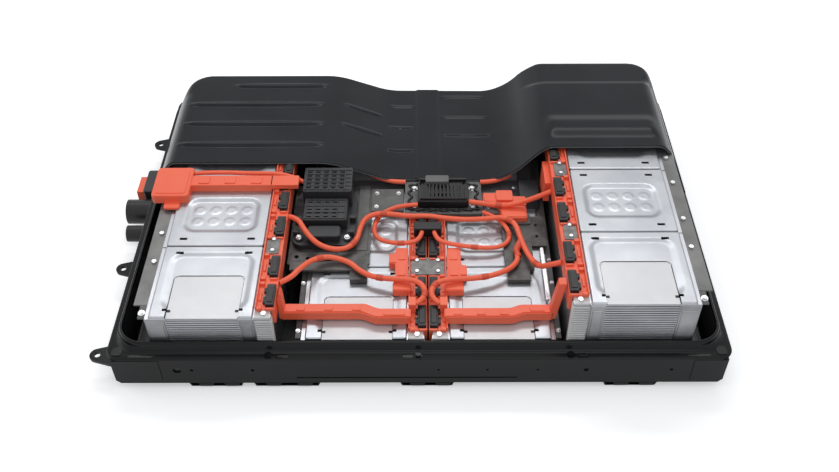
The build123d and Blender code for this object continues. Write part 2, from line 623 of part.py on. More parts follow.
# ---------------------------------------------------------------- cables
def make_cable(diameter, points):
    """Round cable along straight runs joined by tangent arcs as large as the runs allow."""
    vectors = [Vector(*point) for point in points]
    runs = [b - a for a, b in zip(vectors, vectors[1:])]
    radii = []
    for first, second in zip(runs, runs[1:]):
        turn = radians(first.get_angle(second))
        radii.append(BEND_SHARE * min(first.length, second.length) / tan(turn / 2))
    path = FilletPolyline(*points, radius=radii)
    section = Plane(origin=points[0], z_dir=runs[0]) * Circle(diameter / 2)
    cable = sweep(section, path=path)
    expected = pi * diameter ** 2 / 4 * path.length
    print(f"bends {min(radii):.0f} to {max(radii):.0f}, length {path.length:.0f}, volume {cable.volume / expected:.4f}")
    return cable


# ---------------------------------------------------------------- cover
def cover_top_line(drop):
    """XZ line along the top of the cover, with its bends rounded, moved down by drop."""
    corners = [(-COVER_FOOT_HALF_LENGTH - 40, PLATEAU_TOP), (-243, PLATEAU_TOP), (-92, VALLEY_TOP + 3),
               (222, VALLEY_TOP), (298, 216), (333, BULGE_TOP), (COVER_FOOT_HALF_LENGTH + 40, BULGE_TOP)]
    corners = [(x, z - drop) for x, z in corners]
    return FilletPolyline(*corners, radius=[60, 70, 60, 45, 22])


def cover_block(drop, inset):
    """Solid under the cover's top line, drawn in on its sides and back."""
    rise = COVER_HIGH - FLANGE_TOP
    half_x, half_y = COVER_FOOT_HALF_LENGTH - inset, COVER_FOOT_HALF_WIDTH - inset
    top_x = half_x - rise * tan(radians(COVER_SIDE_DRAFT))
    top_y = half_y - rise * tan(radians(COVER_BACK_DRAFT))
    foot = Pos(0, 0, FLANGE_TOP) * RectangleRounded(2 * half_x, 2 * half_y, COVER_FOOT_CORNER - inset)
    head = Pos(0, 0, COVER_HIGH) * RectangleRounded(2 * top_x, 2 * top_y, COVER_TOP_CORNER - inset)
    drawn = loft([foot, head])
    line = cover_top_line(drop)
    start, end = line @ 0, line @ 1
    closing = Polyline((end.X, end.Y), (end.X, 0), (start.X, 0), (start.X, start.Y))
    under = extrude(Plane.XZ * make_face([*line.edges(), *closing.edges()]), -2 * COVER_FOOT_HALF_WIDTH)
    return drawn & under


def make_cover():
    outer = cover_block(0, 0)
    inner = cover_block(COVER_SHEET, COVER_SHEET / cos(radians(COVER_SIDE_DRAFT)))
    keep = slab((-FLANGE_LENGTH, FLANGE_LENGTH), (COVER_CUT, FLANGE_WIDTH), (0, COVER_HIGH))
    rim = rounded_slab((-COVER_FOOT_HALF_LENGTH - COVER_RIM, COVER_FOOT_HALF_LENGTH + COVER_RIM),
                       (-COVER_FOOT_HALF_WIDTH - COVER_RIM, COVER_FOOT_HALF_WIDTH + COVER_RIM),
                       (FLANGE_TOP, FLANGE_TOP + COVER_SHEET), COVER_FOOT_CORNER)
    cover = (outer + rim) & keep
    return cover - inner


# ---------------------------------------------------------------- everything
def build():
    parts = {"tray": make_tray(), "front_side_rail": make_rail(-1), "rear_side_rail": make_rail(1),
             "cross_members": make_cross_members()}
    for name, y in EAR_PLACES:
        parts[name + "_mounting_ear"] = make_ear(y)
    for column in COLUMNS:
        for row in range(column.rows):
            parts[f"{column.name}_cell_stack_{row + 1}"] = make_stack(column, row)
        parts[column.name + "_module_lids"] = [make_lid(column, row) for row in range(column.rows)]
        parts[column.name + "_terminal_strip"] = make_strip(column)
        parts[column.name + "_terminal_caps"] = make_caps(column)
    parts["side_clamps"] = [make_clamp(column) for column in (LEFT, RIGHT)]
    parts["bolts_and_screws"] = make_module_bolts() + make_flange_bolts() + make_link_screws()
    parts["link_plates"] = [*make_links((LEFT,)), *make_links((RIGHT,)), *make_links((CENTRE_LEFT, CENTRE_RIGHT))]
    parts["front_left_busbar_cover"] = make_left_busbar_cover()
    parts["front_right_busbar_cover"] = make_right_busbar_cover()
    parts["top_left_busbar_cover"] = make_top_busbar_cover()
    parts["rear_busbar_cover"] = make_rear_busbar_cover()
    parts["riser_busbar_cover"] = make_riser_cover()
    parts["left_bracket"] = make_left_bracket()
    parts["right_bracket"] = make_right_bracket()
    parts["contactor_housing"] = make_contactor_housing()
    parts["fuse_housing"] = make_fuse_housing()
    parts["service_plate"] = make_service_plate()
    parts["service_socket"] = make_service_plug()
    parts["controller_housing"] = make_battery_controller()
    parts["centre_connector"] = make_centre_connector()
    reach = LEFT_REACH - TUB_LENGTH / 2
    parts["round_connectors"] = [make_socket(*LARGE_SOCKET, reach), make_socket(*SMALL_SOCKET, reach - 18)]
    parts["side_connector_housing"] = make_connector_housing()
    parts["side_terminal_shroud"] = make_terminal_shroud()
    for name, (diameter, points) in ROUTES.items():
        parts[name + "_cable"] = make_cable(diameter, points)
    parts["cover"] = make_cover()
    return parts


def write_parts(parts):
    """One STEP file for each node, moved so that x = 0 is the middle of the whole object."""
    os.makedirs("parts", exist_ok=True)
    shift = (LEFT_REACH - FLANGE_LENGTH / 2) / 2
    for name, shape in parts.items():
        pieces = shape if isinstance(shape, list) else [shape]
        solids = [Pos(shift, 0, 0) * solid for piece in pieces for solid in piece.solids()]
        export_step(solids[0] if len(solids) == 1 else Compound(children=solids), f"parts/{name}.step")


write_parts(build())
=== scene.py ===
"""Looks of the cut-away battery pack: finishes, moulded detail, cables, floor, light and camera."""
import bpy
import bmesh
from math import cos, pi, radians, sin, sqrt, tan
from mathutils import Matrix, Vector


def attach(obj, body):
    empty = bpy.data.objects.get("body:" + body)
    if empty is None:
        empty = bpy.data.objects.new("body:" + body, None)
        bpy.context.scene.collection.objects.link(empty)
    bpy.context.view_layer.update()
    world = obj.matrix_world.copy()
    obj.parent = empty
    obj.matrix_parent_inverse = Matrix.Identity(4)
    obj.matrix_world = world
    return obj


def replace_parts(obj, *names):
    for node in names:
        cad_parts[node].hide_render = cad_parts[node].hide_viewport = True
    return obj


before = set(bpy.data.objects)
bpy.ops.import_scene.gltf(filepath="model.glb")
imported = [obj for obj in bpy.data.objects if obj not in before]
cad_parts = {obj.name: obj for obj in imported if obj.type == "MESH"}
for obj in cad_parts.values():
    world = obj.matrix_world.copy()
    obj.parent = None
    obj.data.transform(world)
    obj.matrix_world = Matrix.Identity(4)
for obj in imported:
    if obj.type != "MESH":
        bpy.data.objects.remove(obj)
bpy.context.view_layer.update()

MM = 0.001
SHIFT = 36.0                     # pack centre to frame origin, along X, in millimetres

# ---------------------------------------------------------------- materials


def new_material(name):
    """Empty node material with its output and a principled shader."""
    material = bpy.data.materials.new(name)
    material.use_nodes = True
    tree = material.node_tree
    shader = tree.nodes["Principled BSDF"]
    return material, tree, shader


def object_noise(tree, scale, detail=4.0, stretch=(1, 1, 1)):
    """Noise in object space, so that a pattern has its real size in metres."""
    place = tree.nodes.new("ShaderNodeTexCoord")
    mapping = tree.nodes.new("ShaderNodeMapping")
    mapping.inputs["Scale"].default_value = stretch
    noise = tree.nodes.new("ShaderNodeTexNoise")
    noise.inputs["Scale"].default_value = scale
    noise.inputs["Detail"].default_value = detail
    tree.links.new(place.outputs["Object"], mapping.inputs["Vector"])
    tree.links.new(mapping.outputs["Vector"], noise.inputs["Vector"])
    return noise.outputs["Fac"]


def ramp(tree, source, low, high, start=0.35, end=0.65):
    """Two-colour ramp over part of a noise's range."""
    node = tree.nodes.new("ShaderNodeValToRGB")
    node.color_ramp.elements[0].position = start
    node.color_ramp.elements[1].position = end
    node.color_ramp.elements[0].color = (*low, 1)
    node.color_ramp.elements[1].color = (*high, 1)
    tree.links.new(source, node.inputs["Fac"])
    return node.outputs["Color"]


def surface(name, low, high, rough, metallic=0.0, patch=6.0, grain=900.0, bump=0.02, stretch=(1, 1, 1),
        shine=0.5):
    """Finish with slow colour patches, varying gloss and a fine grain bump."""
    material, tree, shader = new_material(name)
    patches = object_noise(tree, patch)
    tree.links.new(ramp(tree, patches, low, high), shader.inputs["Base Color"])
    fine = object_noise(tree, grain, 3.0, stretch)
    gloss = tree.nodes.new("ShaderNodeMapRange")
    gloss.inputs["To Min"].default_value = rough[0]
    gloss.inputs["To Max"].default_value = rough[1]
    tree.links.new(object_noise(tree, patch * 7), gloss.inputs["Value"])
    tree.links.new(gloss.outputs["Result"], shader.inputs["Roughness"])
    bumps = tree.nodes.new("ShaderNodeBump")
    bumps.inputs["Strength"].default_value = bump
    bumps.inputs["Distance"].default_value = 0.001
    tree.links.new(fine, bumps.inputs["Height"])
    tree.links.new(bumps.outputs["Normal"], shader.inputs["Normal"])
    shader.inputs["Metallic"].default_value = metallic
    shader.inputs["Specular IOR Level"].default_value = shine
    return material


FRAME_PAINT = surface("frame_paint", (0.0026, 0.0031, 0.0038), (0.0042, 0.0050, 0.0060), (0.20, 0.27),
        bump=0.015, shine=0.2)
COVER_PAINT = surface("cover_paint", (0.0110, 0.0125, 0.0152), (0.0165, 0.0183, 0.0215), (0.22, 0.28),
        bump=0.0, shine=0.14)
CUT_EDGE = surface("cut_edge", (0.045, 0.048, 0.05), (0.065, 0.068, 0.07), (0.35, 0.5), metallic=0.2)
LID_METAL = surface("lid_aluminium", (0.36, 0.375, 0.40), (0.44, 0.455, 0.48), (0.30, 0.40), metallic=0.78,
        patch=9, grain=500, bump=0.05)
PANEL_METAL = surface("panel_aluminium", (0.52, 0.525, 0.535), (0.58, 0.585, 0.595), (0.4, 0.5),
        metallic=0.45, patch=7, grain=300, bump=0.03)
# Near-black finish for the painted shade band along each lid window's step
WINDOW_STEP_SHADE = surface("painted_window_step_shade", (0.02, 0.021, 0.023), (0.03, 0.031, 0.033), (0.5, 0.6))
PLATE_STEEL = surface("plate_steel", (0.22, 0.225, 0.235), (0.33, 0.335, 0.345), (0.28, 0.4), metallic=0.8,
        patch=12, grain=500, bump=0.05, stretch=(1, 1, 0.1))
PLATE_GREY = surface("plate_grey", (0.085, 0.086, 0.083), (0.125, 0.125, 0.12), (0.4, 0.55), metallic=0.2,
        patch=30, grain=900, bump=0.1, shine=0.4)
CELL_METAL = surface("cell_aluminium", (0.38, 0.39, 0.415), (0.48, 0.49, 0.515), (0.26, 0.38),
        metallic=0.85,
        grain=700, bump=0.04, stretch=(0.1, 0.1, 1))
COMB_PLASTIC = surface("comb_plastic", (0.62, 0.62, 0.61), (0.70, 0.70, 0.69), (0.4, 0.5), grain=1200,
        bump=0.05)
ORANGE = surface("orange_plastic", (0.92, 0.145, 0.070), (0.97, 0.172, 0.085), (0.34, 0.46), bump=0.05,
        shine=0.4)
ORANGE_CABLE = surface("orange_cable", (0.92, 0.135, 0.062), (0.97, 0.165, 0.078), (0.38, 0.5), grain=1500,
        bump=0.08, shine=0.4)
TAPE = surface("orange_tape", (0.62, 0.075, 0.03), (0.70, 0.09, 0.036), (0.45, 0.6), grain=900, bump=0.1)
DARK_PLASTIC = surface("dark_plastic", (0.016, 0.017, 0.019), (0.024, 0.025, 0.028), (0.36, 0.5),
        grain=1500, bump=0.12, shine=0.4)
# Black plastic, also used for the black plates and patches that are painted shade in slots
BLACK_PLASTIC_AND_SHADE = surface("black_plastic_and_painted_shade", (0.007, 0.007, 0.008), (0.011, 0.011, 0.012), (0.3, 0.45),
        grain=1500, bump=0.1, shine=0.35)
BRACKET = surface("bracket_steel", (0.050, 0.051, 0.048), (0.10, 0.10, 0.096), (0.34, 0.5), metallic=0.35,
        patch=40, grain=900, bump=0.08, shine=0.4)
LINK_METAL = surface("link_steel", (0.11, 0.11, 0.108), (0.18, 0.18, 0.175), (0.33, 0.48), metallic=0.6,
        patch=60)
CLAMP_STEEL = surface("clamp_steel", (0.13, 0.13, 0.127), (0.19, 0.19, 0.185), (0.35, 0.5), metallic=0.4,
        patch=15)
RUBBER = surface("grey_rubber", (0.10, 0.10, 0.098), (0.14, 0.14, 0.135), (0.55, 0.7), grain=1200,
        bump=0.15)
ZINC = surface("zinc_steel", (0.60, 0.60, 0.62), (0.76, 0.76, 0.78), (0.2, 0.34), metallic=1.0, patch=50)

NODE_FINISH = (
    ("cell_stack", CELL_METAL), ("module_lids", LID_METAL), ("terminal_strip", ORANGE),
    ("terminal_caps", DARK_PLASTIC),
    ("busbar_cover", ORANGE), ("_cable", ORANGE_CABLE), ("housing", DARK_PLASTIC),
    ("connector", BLACK_PLASTIC_AND_SHADE),
    ("shroud", ORANGE), ("bracket", BRACKET), ("side_clamps", CLAMP_STEEL), ("link_plates", LINK_METAL),
    ("bolts", ZINC), ("service_plate", PLATE_GREY), ("service_socket", BLACK_PLASTIC_AND_SHADE),
    ("cover", COVER_PAINT),
)


def finish_nodes():
    """Every CAD node gets the finish that its name asks for; the rest is painted steel."""
    for name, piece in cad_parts.items():
        finish = next((found for part, found in NODE_FINISH if part in name), FRAME_PAINT)
        for slot in piece.material_slots:
            slot.material = finish


# ---------------------------------------------------------------- mesh helpers
def add_piece(name, mesh, material, smooth_angle=35.0):
    """Object from a mesh, riding on the part's only body."""
    piece = bpy.data.objects.new(name, mesh)
    bpy.context.scene.collection.objects.link(piece)
    mesh.materials.append(material)
    mesh.shade_smooth()
    mesh.set_sharp_from_angle(angle=radians(smooth_angle))
    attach(piece, "root")
    return piece


def place(x, y, z):
    """Pack millimetres to frame metres."""
    return ((x + SHIFT) * MM, y * MM, z * MM)


def grid_mesh(name, rows, closed=False):
    """Quads between rows of points given in pack millimetres."""
    count = len(rows[0])
    points = [place(*point) for row in rows for point in row]
    faces = []
    for r in range(len(rows) - 1):
        for c in range(count if closed else count - 1):
            following = (c + 1) % count
            faces.append((r * count + c, r * count + following, (r + 1) * count + following,
                    (r + 1) * count + c))
    mesh = bpy.data.meshes.new(name)
    mesh.from_pydata(points, [], faces)
    return mesh


def clean(mesh, distance=0.00005):
    """Joins doubled points and turns every face outwards."""
    work = bmesh.new()
    work.from_mesh(mesh)
    bmesh.ops.remove_doubles(work, verts=work.verts, dist=distance)
    bmesh.ops.recalc_face_normals(work, faces=work.faces)
    work.to_mesh(mesh)
    work.free()
    return mesh


def apply_modifiers(piece):
    """Bakes a piece's modifiers into its mesh."""
    graph = bpy.context.evaluated_depsgraph_get()
    mesh = bpy.data.meshes.new_from_object(piece.evaluated_get(graph))
    piece.modifiers.clear()
    piece.data = mesh


def spread(start, end, count):
    """Evenly spaced values with both ends."""
    return [start + (end - start) * k / (count - 1) for k in range(count)]


def extruded(name, outline, z_low, z_high, material, edge=1.0, segments=2):
    """Upright prism over a plan outline, its upper edges rounded."""
    work = bmesh.new()
    bottom = [work.verts.new(place(x, y, z_low)) for x, y in outline]
    top = [work.verts.new(place(x, y, z_high)) for x, y in outline]
    work.faces.new(bottom)
    work.faces.new(top)
    for k in range(len(outline)):
        following = (k + 1) % len(outline)
        work.faces.new((bottom[k], bottom[following], top[following], top[k]))
    bmesh.ops.recalc_face_normals(work, faces=work.faces)
    if edge:
        rounded = [found for found in work.edges
                if not (found.verts[0] in bottom and found.verts[1] in bottom)]
        bmesh.ops.bevel(work, geom=rounded, offset=edge * MM, segments=segments, affect="EDGES",
                clamp_overlap=True)
    mesh = bpy.data.meshes.new(name)
    work.to_mesh(mesh)
    work.free()
    return add_piece(name, mesh, material)


def rounded_outline(x_range, y_range, corner, steps=5):
    """Plan outline of a rounded rectangle."""
    middle_x, middle_y = sum(x_range) / 2, sum(y_range) / 2
    half_x, half_y = (x_range[1] - x_range[0]) / 2, (y_range[1] - y_range[0]) / 2
    return [(middle_x + x, middle_y + y) for x, y, _ in ring_points(half_x, half_y, corner, 0, steps)]


def block(x_range, y_range, z_range, material, corner, edge=1.0, segments=2, steps=5):
    """Prism with rounded upright corners and soft upper edges, to be joined into a larger piece."""
    outline = rounded_outline(x_range, y_range, corner, steps)
    return extruded("block", outline, z_range[0], z_range[1], material, edge, segments)


def ribbon_outline(route, width):
    """Plan outline of a strip of even width along a route, mitred at its bends."""
    sides = [[], []]
    for k, (x, y) in enumerate(route):
        before = Vector(route[max(k - 1, 0)])
        after = Vector(route[min(k + 1, len(route) - 1)])
        here = Vector((x, y))
        ins = (here - before).normalized() if k else (after - here).normalized()
        outs = (after - here).normalized() if k < len(route) - 1 else ins
        bisector = (ins + outs).normalized()
        normal = Vector((-bisector.y, bisector.x)) * (width / 2 / max(0.3, bisector.dot(ins)))
        sides[0].append(tuple(here + normal))
        sides[1].append(tuple(here - normal))
    return sides[0] + sides[1][::-1]


def joined(name, pieces):
    """One piece from several meshes that share a finish."""
    work = bmesh.new()
    for piece in pieces:
        work.from_mesh(piece.data)
    mesh = pieces[0].data.copy()
    work.to_mesh(mesh)
    work.free()
    for piece in pieces:
        bpy.data.objects.remove(piece)
    whole = bpy.data.objects.new(name, mesh)
    bpy.context.scene.collection.objects.link(whole)
    mesh.set_sharp_from_angle(angle=radians(35))
    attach(whole, "root")
    return whole


def inside_distance(x, y, half_x, half_y, corner):
    """Distance from a point in to the edge of a centred rounded rectangle, negative outside."""
    u, v = abs(x) - half_x + corner, abs(y) - half_y + corner
    return corner - sqrt(max(u, 0) ** 2 + max(v, 0) ** 2) - min(max(u, v), 0)


# ---------------------------------------------------------------- modules
MODULE_PITCH = 239.6
MODULE_GAP = 3.0
MODULE_DEPTH = 236.6
LID_START = 10.0
LID_LENGTH = 246.0
LID_THICK = 7.0
LID_MIDDLE = 135.5
WINDOW_HALF = 86.0
WINDOW_REACH = 137.0
DISH_DEPTH = 3.5
WINDOW_DEPTH = 1.9
BOSS_RADIUS = 13.5
SLOT = (19.0, 8.0)
SLOT_SPACING = 172.5
SLOT_FROM_SEAM = 23.5
COLUMN_PLACES = {
    # outer end, side, top of lids, rows
    "left": (-649, 1, 214.6, 4),
    "centre_left": (-286, 1, 136.7, 3),
    "centre_right": (330, -1, 136.7, 3),
    "right": (658, -1, 262.0, 4),
}


def row_front(row):
    """Y of the front face of one row of modules."""
    return (row - 2) * MODULE_PITCH + MODULE_GAP / 2


def lid_drop(u, v, window_end, boss):
    """How far the lid lies below its top: rolled rim, soft dish, and the window or the eight bosses."""
    rim = inside_distance(u - LID_START - LID_LENGTH / 2, v - MODULE_DEPTH / 2, LID_LENGTH / 2,
            MODULE_DEPTH / 2, 5)
    rolled = LID_THICK if rim <= 0.05 else 2.2 * max(0.0, 1 - rim / 3.5) ** 2
    if boss:
        dish = inside_distance(u - LID_MIDDLE, v - MODULE_DEPTH / 2 + 5, 96, 64, 32)
        drop = (DISH_DEPTH + 1.5) * smooth_step(dish, -3, 13)
        for across in (-61.5, -20.5, 20.5, 61.5):
            for deep in (-26, 16):
                gap = sqrt((u - LID_MIDDLE - across) ** 2 + (v - MODULE_DEPTH / 2 - deep) ** 2)
                drop -= 0.9 * (1 - smooth_step(gap, BOSS_RADIUS - 1.5, BOSS_RADIUS + 1.5))
        return max(rolled, drop)
    dish = inside_distance(u - LID_MIDDLE, v - MODULE_DEPTH / 2, 107, 97, 38)
    drop = DISH_DEPTH * smooth_step(dish, -2, 16)
    if window_end:
        depth = v if window_end > 0 else MODULE_DEPTH - v
        window = inside_distance(u - LID_MIDDLE, depth - WINDOW_REACH + 80.5, WINDOW_HALF, 80.5, 13)
        drop = max(drop, (DISH_DEPTH + WINDOW_DEPTH) * smooth_step(window, -0.6, 0.6))
    return max(rolled, drop)


def lid_lines(length, special, step):
    """Grid lines across a lid: an even spread with extra lines at its edges and folds."""
    lines = set(special) | {0, 0.06, 0.8, 2.0, 3.6, length - 3.6, length - 2.0, length - 0.8,
            length - 0.06, length}
    count = round(length / step)
    for k in range(1, count):
        value = length * k / count
        if all(abs(value - other) > step * 0.4 for other in special):
            lines.add(value)
    return sorted(lines)


def make_lid_sheets(column_name):
    """Pressed lids of one column, with real slots through them, black plates below as painted shade in the
    slots, and a painted shade band round each window's step.
    """
    outer, side, top, rows = COLUMN_PLACES[column_name]
    points, faces, clips, finishes = [], [], [], []
    slot_u = [LID_MIDDLE - SLOT_SPACING / 2, LID_MIDDLE + SLOT_SPACING / 2]
    slot_v = [SLOT_FROM_SEAM, MODULE_DEPTH - SLOT_FROM_SEAM]
    for row in range(rows):
        step = 3.0 if row < 2 else 6.5
        special_u = [at + turn * SLOT[0] / 2 - LID_START for at in slot_u for turn in (-1, 1)]
        special_u += [LID_MIDDLE + turn * (WINDOW_HALF + off) - LID_START
                      for turn in (-1, 1) for off in (-0.7, 0.7)]
        special_v = [at + turn * SLOT[1] / 2 for at in slot_v for turn in (-1, 1)]
        special_v += [WINDOW_REACH - 0.7, WINDOW_REACH + 0.7] if row == 0 else []
        lines_u = [LID_START + value for value in lid_lines(LID_LENGTH, special_u, step)]
        lines_v = lid_lines(MODULE_DEPTH, special_v, step)
        window_end = {0: 1, rows - 1: -1}.get(row, 0)
        base = len(points)
        for v in lines_v:
            for u in lines_u:
                z = top - lid_drop(u, v, window_end, not window_end)
                points.append(place(outer + side * u, row_front(row) + v, z))
        width = len(lines_u)
        for j in range(len(lines_v) - 1):
            for i in range(width - 1):
                u, v = (lines_u[i] + lines_u[i + 1]) / 2, (lines_v[j] + lines_v[j + 1]) / 2
                if any(abs(u - su) < SLOT[0] / 2 for su in slot_u) and \
                        any(abs(v - sv) < SLOT[1] / 2 for sv in slot_v):
                    continue
                a = base + j * width + i
                faces.append((a, a + 1, a + width + 1, a + width))
                # Finish index 2 is the painted shade band along the window's step; index 1 is the window
                # panel, 0 the lid
                depth = v if window_end > 0 else MODULE_DEPTH - v
                inside = inside_distance(u - LID_MIDDLE, depth - WINDOW_REACH + 80.5, WINDOW_HALF, 80.5, 13)
                finishes.append(0 if not window_end or inside < -0.75 else 2 if inside < 0.75 else 1)
        # Black plates under each slot: painted shade that darkens the slot openings
        for u in slot_u:
            for v in slot_v:
                x, y = outer + side * u, row_front(row) + v
                clips.append(block((x - 11, x + 11), (y - 6, y + 6),
                        (top - LID_THICK - 0.5, top - LID_THICK + 0.5), BLACK_PLASTIC_AND_SHADE, 2, 0.2, 1, steps=3))
    mesh = bpy.data.meshes.new(column_name + "_lid_sheets")
    mesh.from_pydata(points, [], faces)
    piece = add_piece(column_name + "_lid_sheets", mesh, LID_METAL, 32)
    mesh.materials.append(PANEL_METAL)
    mesh.materials.append(WINDOW_STEP_SHADE)
    mesh.polygons.foreach_set("material_index", finishes)
    clean(mesh, 0.00001)
    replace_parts(piece, column_name + "_module_lids")
    joined(column_name + "_slot_shade_plates", clips)


FLOOR_TOP = 23.0
CELL_PITCH = 8.0
FIN_START, FIN_END = 49.0, 222.0
COMB_START, MODULE_LENGTH = 258.0, 298.0
STRIP_SEAT_DROP = 6.0
STRIP_THICK = 5.0
CAP_OFFSETS = (31.0, 128.0)
CAP_LENGTH = 66.0
CAP_HEIGHT = 11.0


def box_across(column_name, u_range, y_range, z_range, material, edge=0.6, name="part"):
    """Soft block whose X limits are measured from a column's outer end."""
    outer, side = COLUMN_PLACES[column_name][:2]
    x_range = sorted((outer + side * u_range[0], outer + side * u_range[1]))
    outline = [(x_range[0], y_range[0]), (x_range[1], y_range[0]), (x_range[1], y_range[1]),
            (x_range[0], y_range[1])]
    return extruded(name, outline, z_range[0], z_range[1], material, edge, 1)


def make_stack_fronts(column_name):
    """Front face of a column: dark seams between the cells, folded corner plates, white finned comb."""
    top = COLUMN_PLACES[column_name][2] - LID_THICK
    front = row_front(0)
    count = round((top - FLOOR_TOP) / CELL_PITCH)
    pitch = (top - FLOOR_TOP) / count
    seams = [box_across(column_name, (FIN_START, FIN_END), (front + 1.6, front + 5.4),
                        (FLOOR_TOP + k * pitch - 1.3, FLOOR_TOP + k * pitch + 0.9), BLACK_PLASTIC_AND_SHADE, 0.3)
             for k in range(1, count)]
    joined(column_name + "_cell_seams", seams)
    plates = []
    for start, end in ((0.5, FIN_START - 1), (FIN_END + 1, COMB_START - 1)):
        plates.append(box_across(column_name, (start, end), (front - 1.8, front + 1),
                (FLOOR_TOP + 3, top - 4), PLATE_STEEL, 1.2))
        plates.append(box_across(column_name, (start + 5, end - 5), (front - 3.0, front - 1),
                (FLOOR_TOP + 10, top - 20), PLATE_STEEL, 1.2))
    joined(column_name + "_corner_plates", plates)
    fins = [box_across(column_name, (COMB_START + 1, MODULE_LENGTH + 1.6), (front - 1, front + 20),
            (z, z + 3.2), COMB_PLASTIC, 0.7) for z in range(int(FLOOR_TOP) + 4, int(top) - 8, 8)]
    fins.append(box_across(column_name, (COMB_START + 0.5, MODULE_LENGTH - 1), (front + 2, front + 26),
            (top - 4, top + 1.6), COMB_PLASTIC, 1.2))
    joined(column_name + "_comb_fins", fins)


def make_terminal_details(column_name):
    """Ridges on the caps, hooks and screws on the strip of one column."""
    top, rows = COLUMN_PLACES[column_name][2:]
    seat = top - STRIP_SEAT_DROP + STRIP_THICK
    ridges, hooks, screws = [], [], []
    for row in range(rows):
        for offset in CAP_OFFSETS:
            start = row_front(row) + offset
            ridges.append(box_across(column_name, (286, 301), (start + 7, start + CAP_LENGTH - 7),
                    (seat + CAP_HEIGHT - 0.5, seat + CAP_HEIGHT + 2.5), BLACK_PLASTIC_AND_SHADE, 1.2))
            for notch in (9, 43):
                ridges.append(box_across(column_name, (277, 284), (start + notch, start + notch + 14),
                        (seat - 0.5, seat + 8), DARK_PLASTIC, 0.8))
            for hook in (-12, CAP_LENGTH + 2):
                hooks.append(box_across(column_name, (264, 276), (start + hook, start + hook + 9),
                        (seat - 0.5, seat + 9), ORANGE, 1.0))
                hooks.append(box_across(column_name, (286, 304), (start + hook + 2, start + hook + 7),
                        (seat - 0.5, seat + 6), ORANGE, 1.0))
            hooks.append(box_across(column_name, (266, 272), (start + 20, start + 46),
                    (seat - 0.5, seat + 4), ORANGE, 1.0))
            outer, side = COLUMN_PLACES[column_name][:2]
            screws += bolt("screw", outer + side * 280, start + CAP_LENGTH / 2, seat - 0.3, 7, 4,
                    LINK_METAL)
    joined(column_name + "_cap_ridges", ridges)
    joined(column_name + "_strip_hooks", hooks)
    joined(column_name + "_strip_screws", screws)


# ---------------------------------------------------------------- orange covers
DUCT_BOTTOM = 137.0
DUCT_TOP = DUCT_BOTTOM + 27
CLIP_RISE = 2.5                  # clips and pads over their cover
SUNK = 0.5                       # dressed parts reach this far into their base
LEFT_SEAT = 214.9                # top left cover on the lids
GUARD_BOTTOM = 136.5
GUARD_TOP = 157.0
PLATE_TOP = 161.0                # service plate
PLUG_TOP = 187.0
PLUG_MIDDLE = 67.0
GASKET_SECTION = ((4.0, -0.2), (3.2, 3.0), (1.2, 4.4), (-1.2, 4.4), (-3.2, 3.0), (-4.0, -0.2))
BOX_BASE_TOP = 164.0             # junction box
BOX_LOW_TOP = 198.0
BOX_HIGH_TOP = 219.0
LEFT_DUCT = ((-338, -404), (-135, -404), (-103, -420), (-20, -420))
RIGHT_DUCT = ((62, -419), (226, -419), (252, -408), (326, -408))
DUCT_WIDTH = 30.0


def side_profile(name, outline, y_range, material, edge=1.5):
    """Prism along Y over an XZ outline."""
    work = bmesh.new()
    front = [work.verts.new(place(x, y_range[0], z)) for x, z in outline]
    back = [work.verts.new(place(x, y_range[1], z)) for x, z in outline]
    work.faces.new(front)
    work.faces.new(back)
    for k in range(len(outline)):
        following = (k + 1) % len(outline)
        work.faces.new((front[k], front[following], back[following], back[k]))
    bmesh.ops.recalc_face_normals(work, faces=work.faces)
    bmesh.ops.bevel(work, geom=list(work.edges), offset=edge * MM, segments=2, affect="EDGES",
            clamp_overlap=True)
    mesh = bpy.data.meshes.new(name)
    work.to_mesh(mesh)
    work.free()
    return add_piece(name, mesh, material)


def clip_on(x_range, y_range, seat):
    """Raised clip on an orange cover."""
    return block(x_range, y_range, (seat - SUNK, seat + CLIP_RISE), ORANGE, 4)


def make_front_covers():
    """Soft-edged ducts in front of the centre modules, with raised clips, upright and riser."""
    parts = [extruded("duct", ribbon_outline(LEFT_DUCT, DUCT_WIDTH), DUCT_BOTTOM, DUCT_TOP, ORANGE, 3)]
    parts.append(side_profile("upright",
            ((-342, DUCT_BOTTOM), (-326, DUCT_BOTTOM), (-331, 222), (-334, 226),
             (-342, 214)),
            (-418, -390), ORANGE))
    for x in (-300, -232, -164):
        parts.append(clip_on((x, x + 22), (-414, -394), DUCT_TOP))
    parts.append(clip_on((-88, -34), (-430, -410), DUCT_TOP))
    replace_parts(joined("front_left_duct", parts), "front_left_busbar_cover")
    parts = [extruded("duct", ribbon_outline(RIGHT_DUCT, DUCT_WIDTH), DUCT_BOTTOM, DUCT_TOP, ORANGE, 3)]
    parts.append(side_profile("riser", ((314, DUCT_BOTTOM), (334, DUCT_BOTTOM), (350, 262), (332, 262)),
            (-420, -396), ORANGE))
    for x in (84, 140, 196):
        parts.append(clip_on((x, x + 22), (-429, -409), DUCT_TOP))
    parts.append(clip_on((270, 306), (-418, -398), DUCT_TOP))
    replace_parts(joined("front_right_duct", parts), "front_right_busbar_cover")


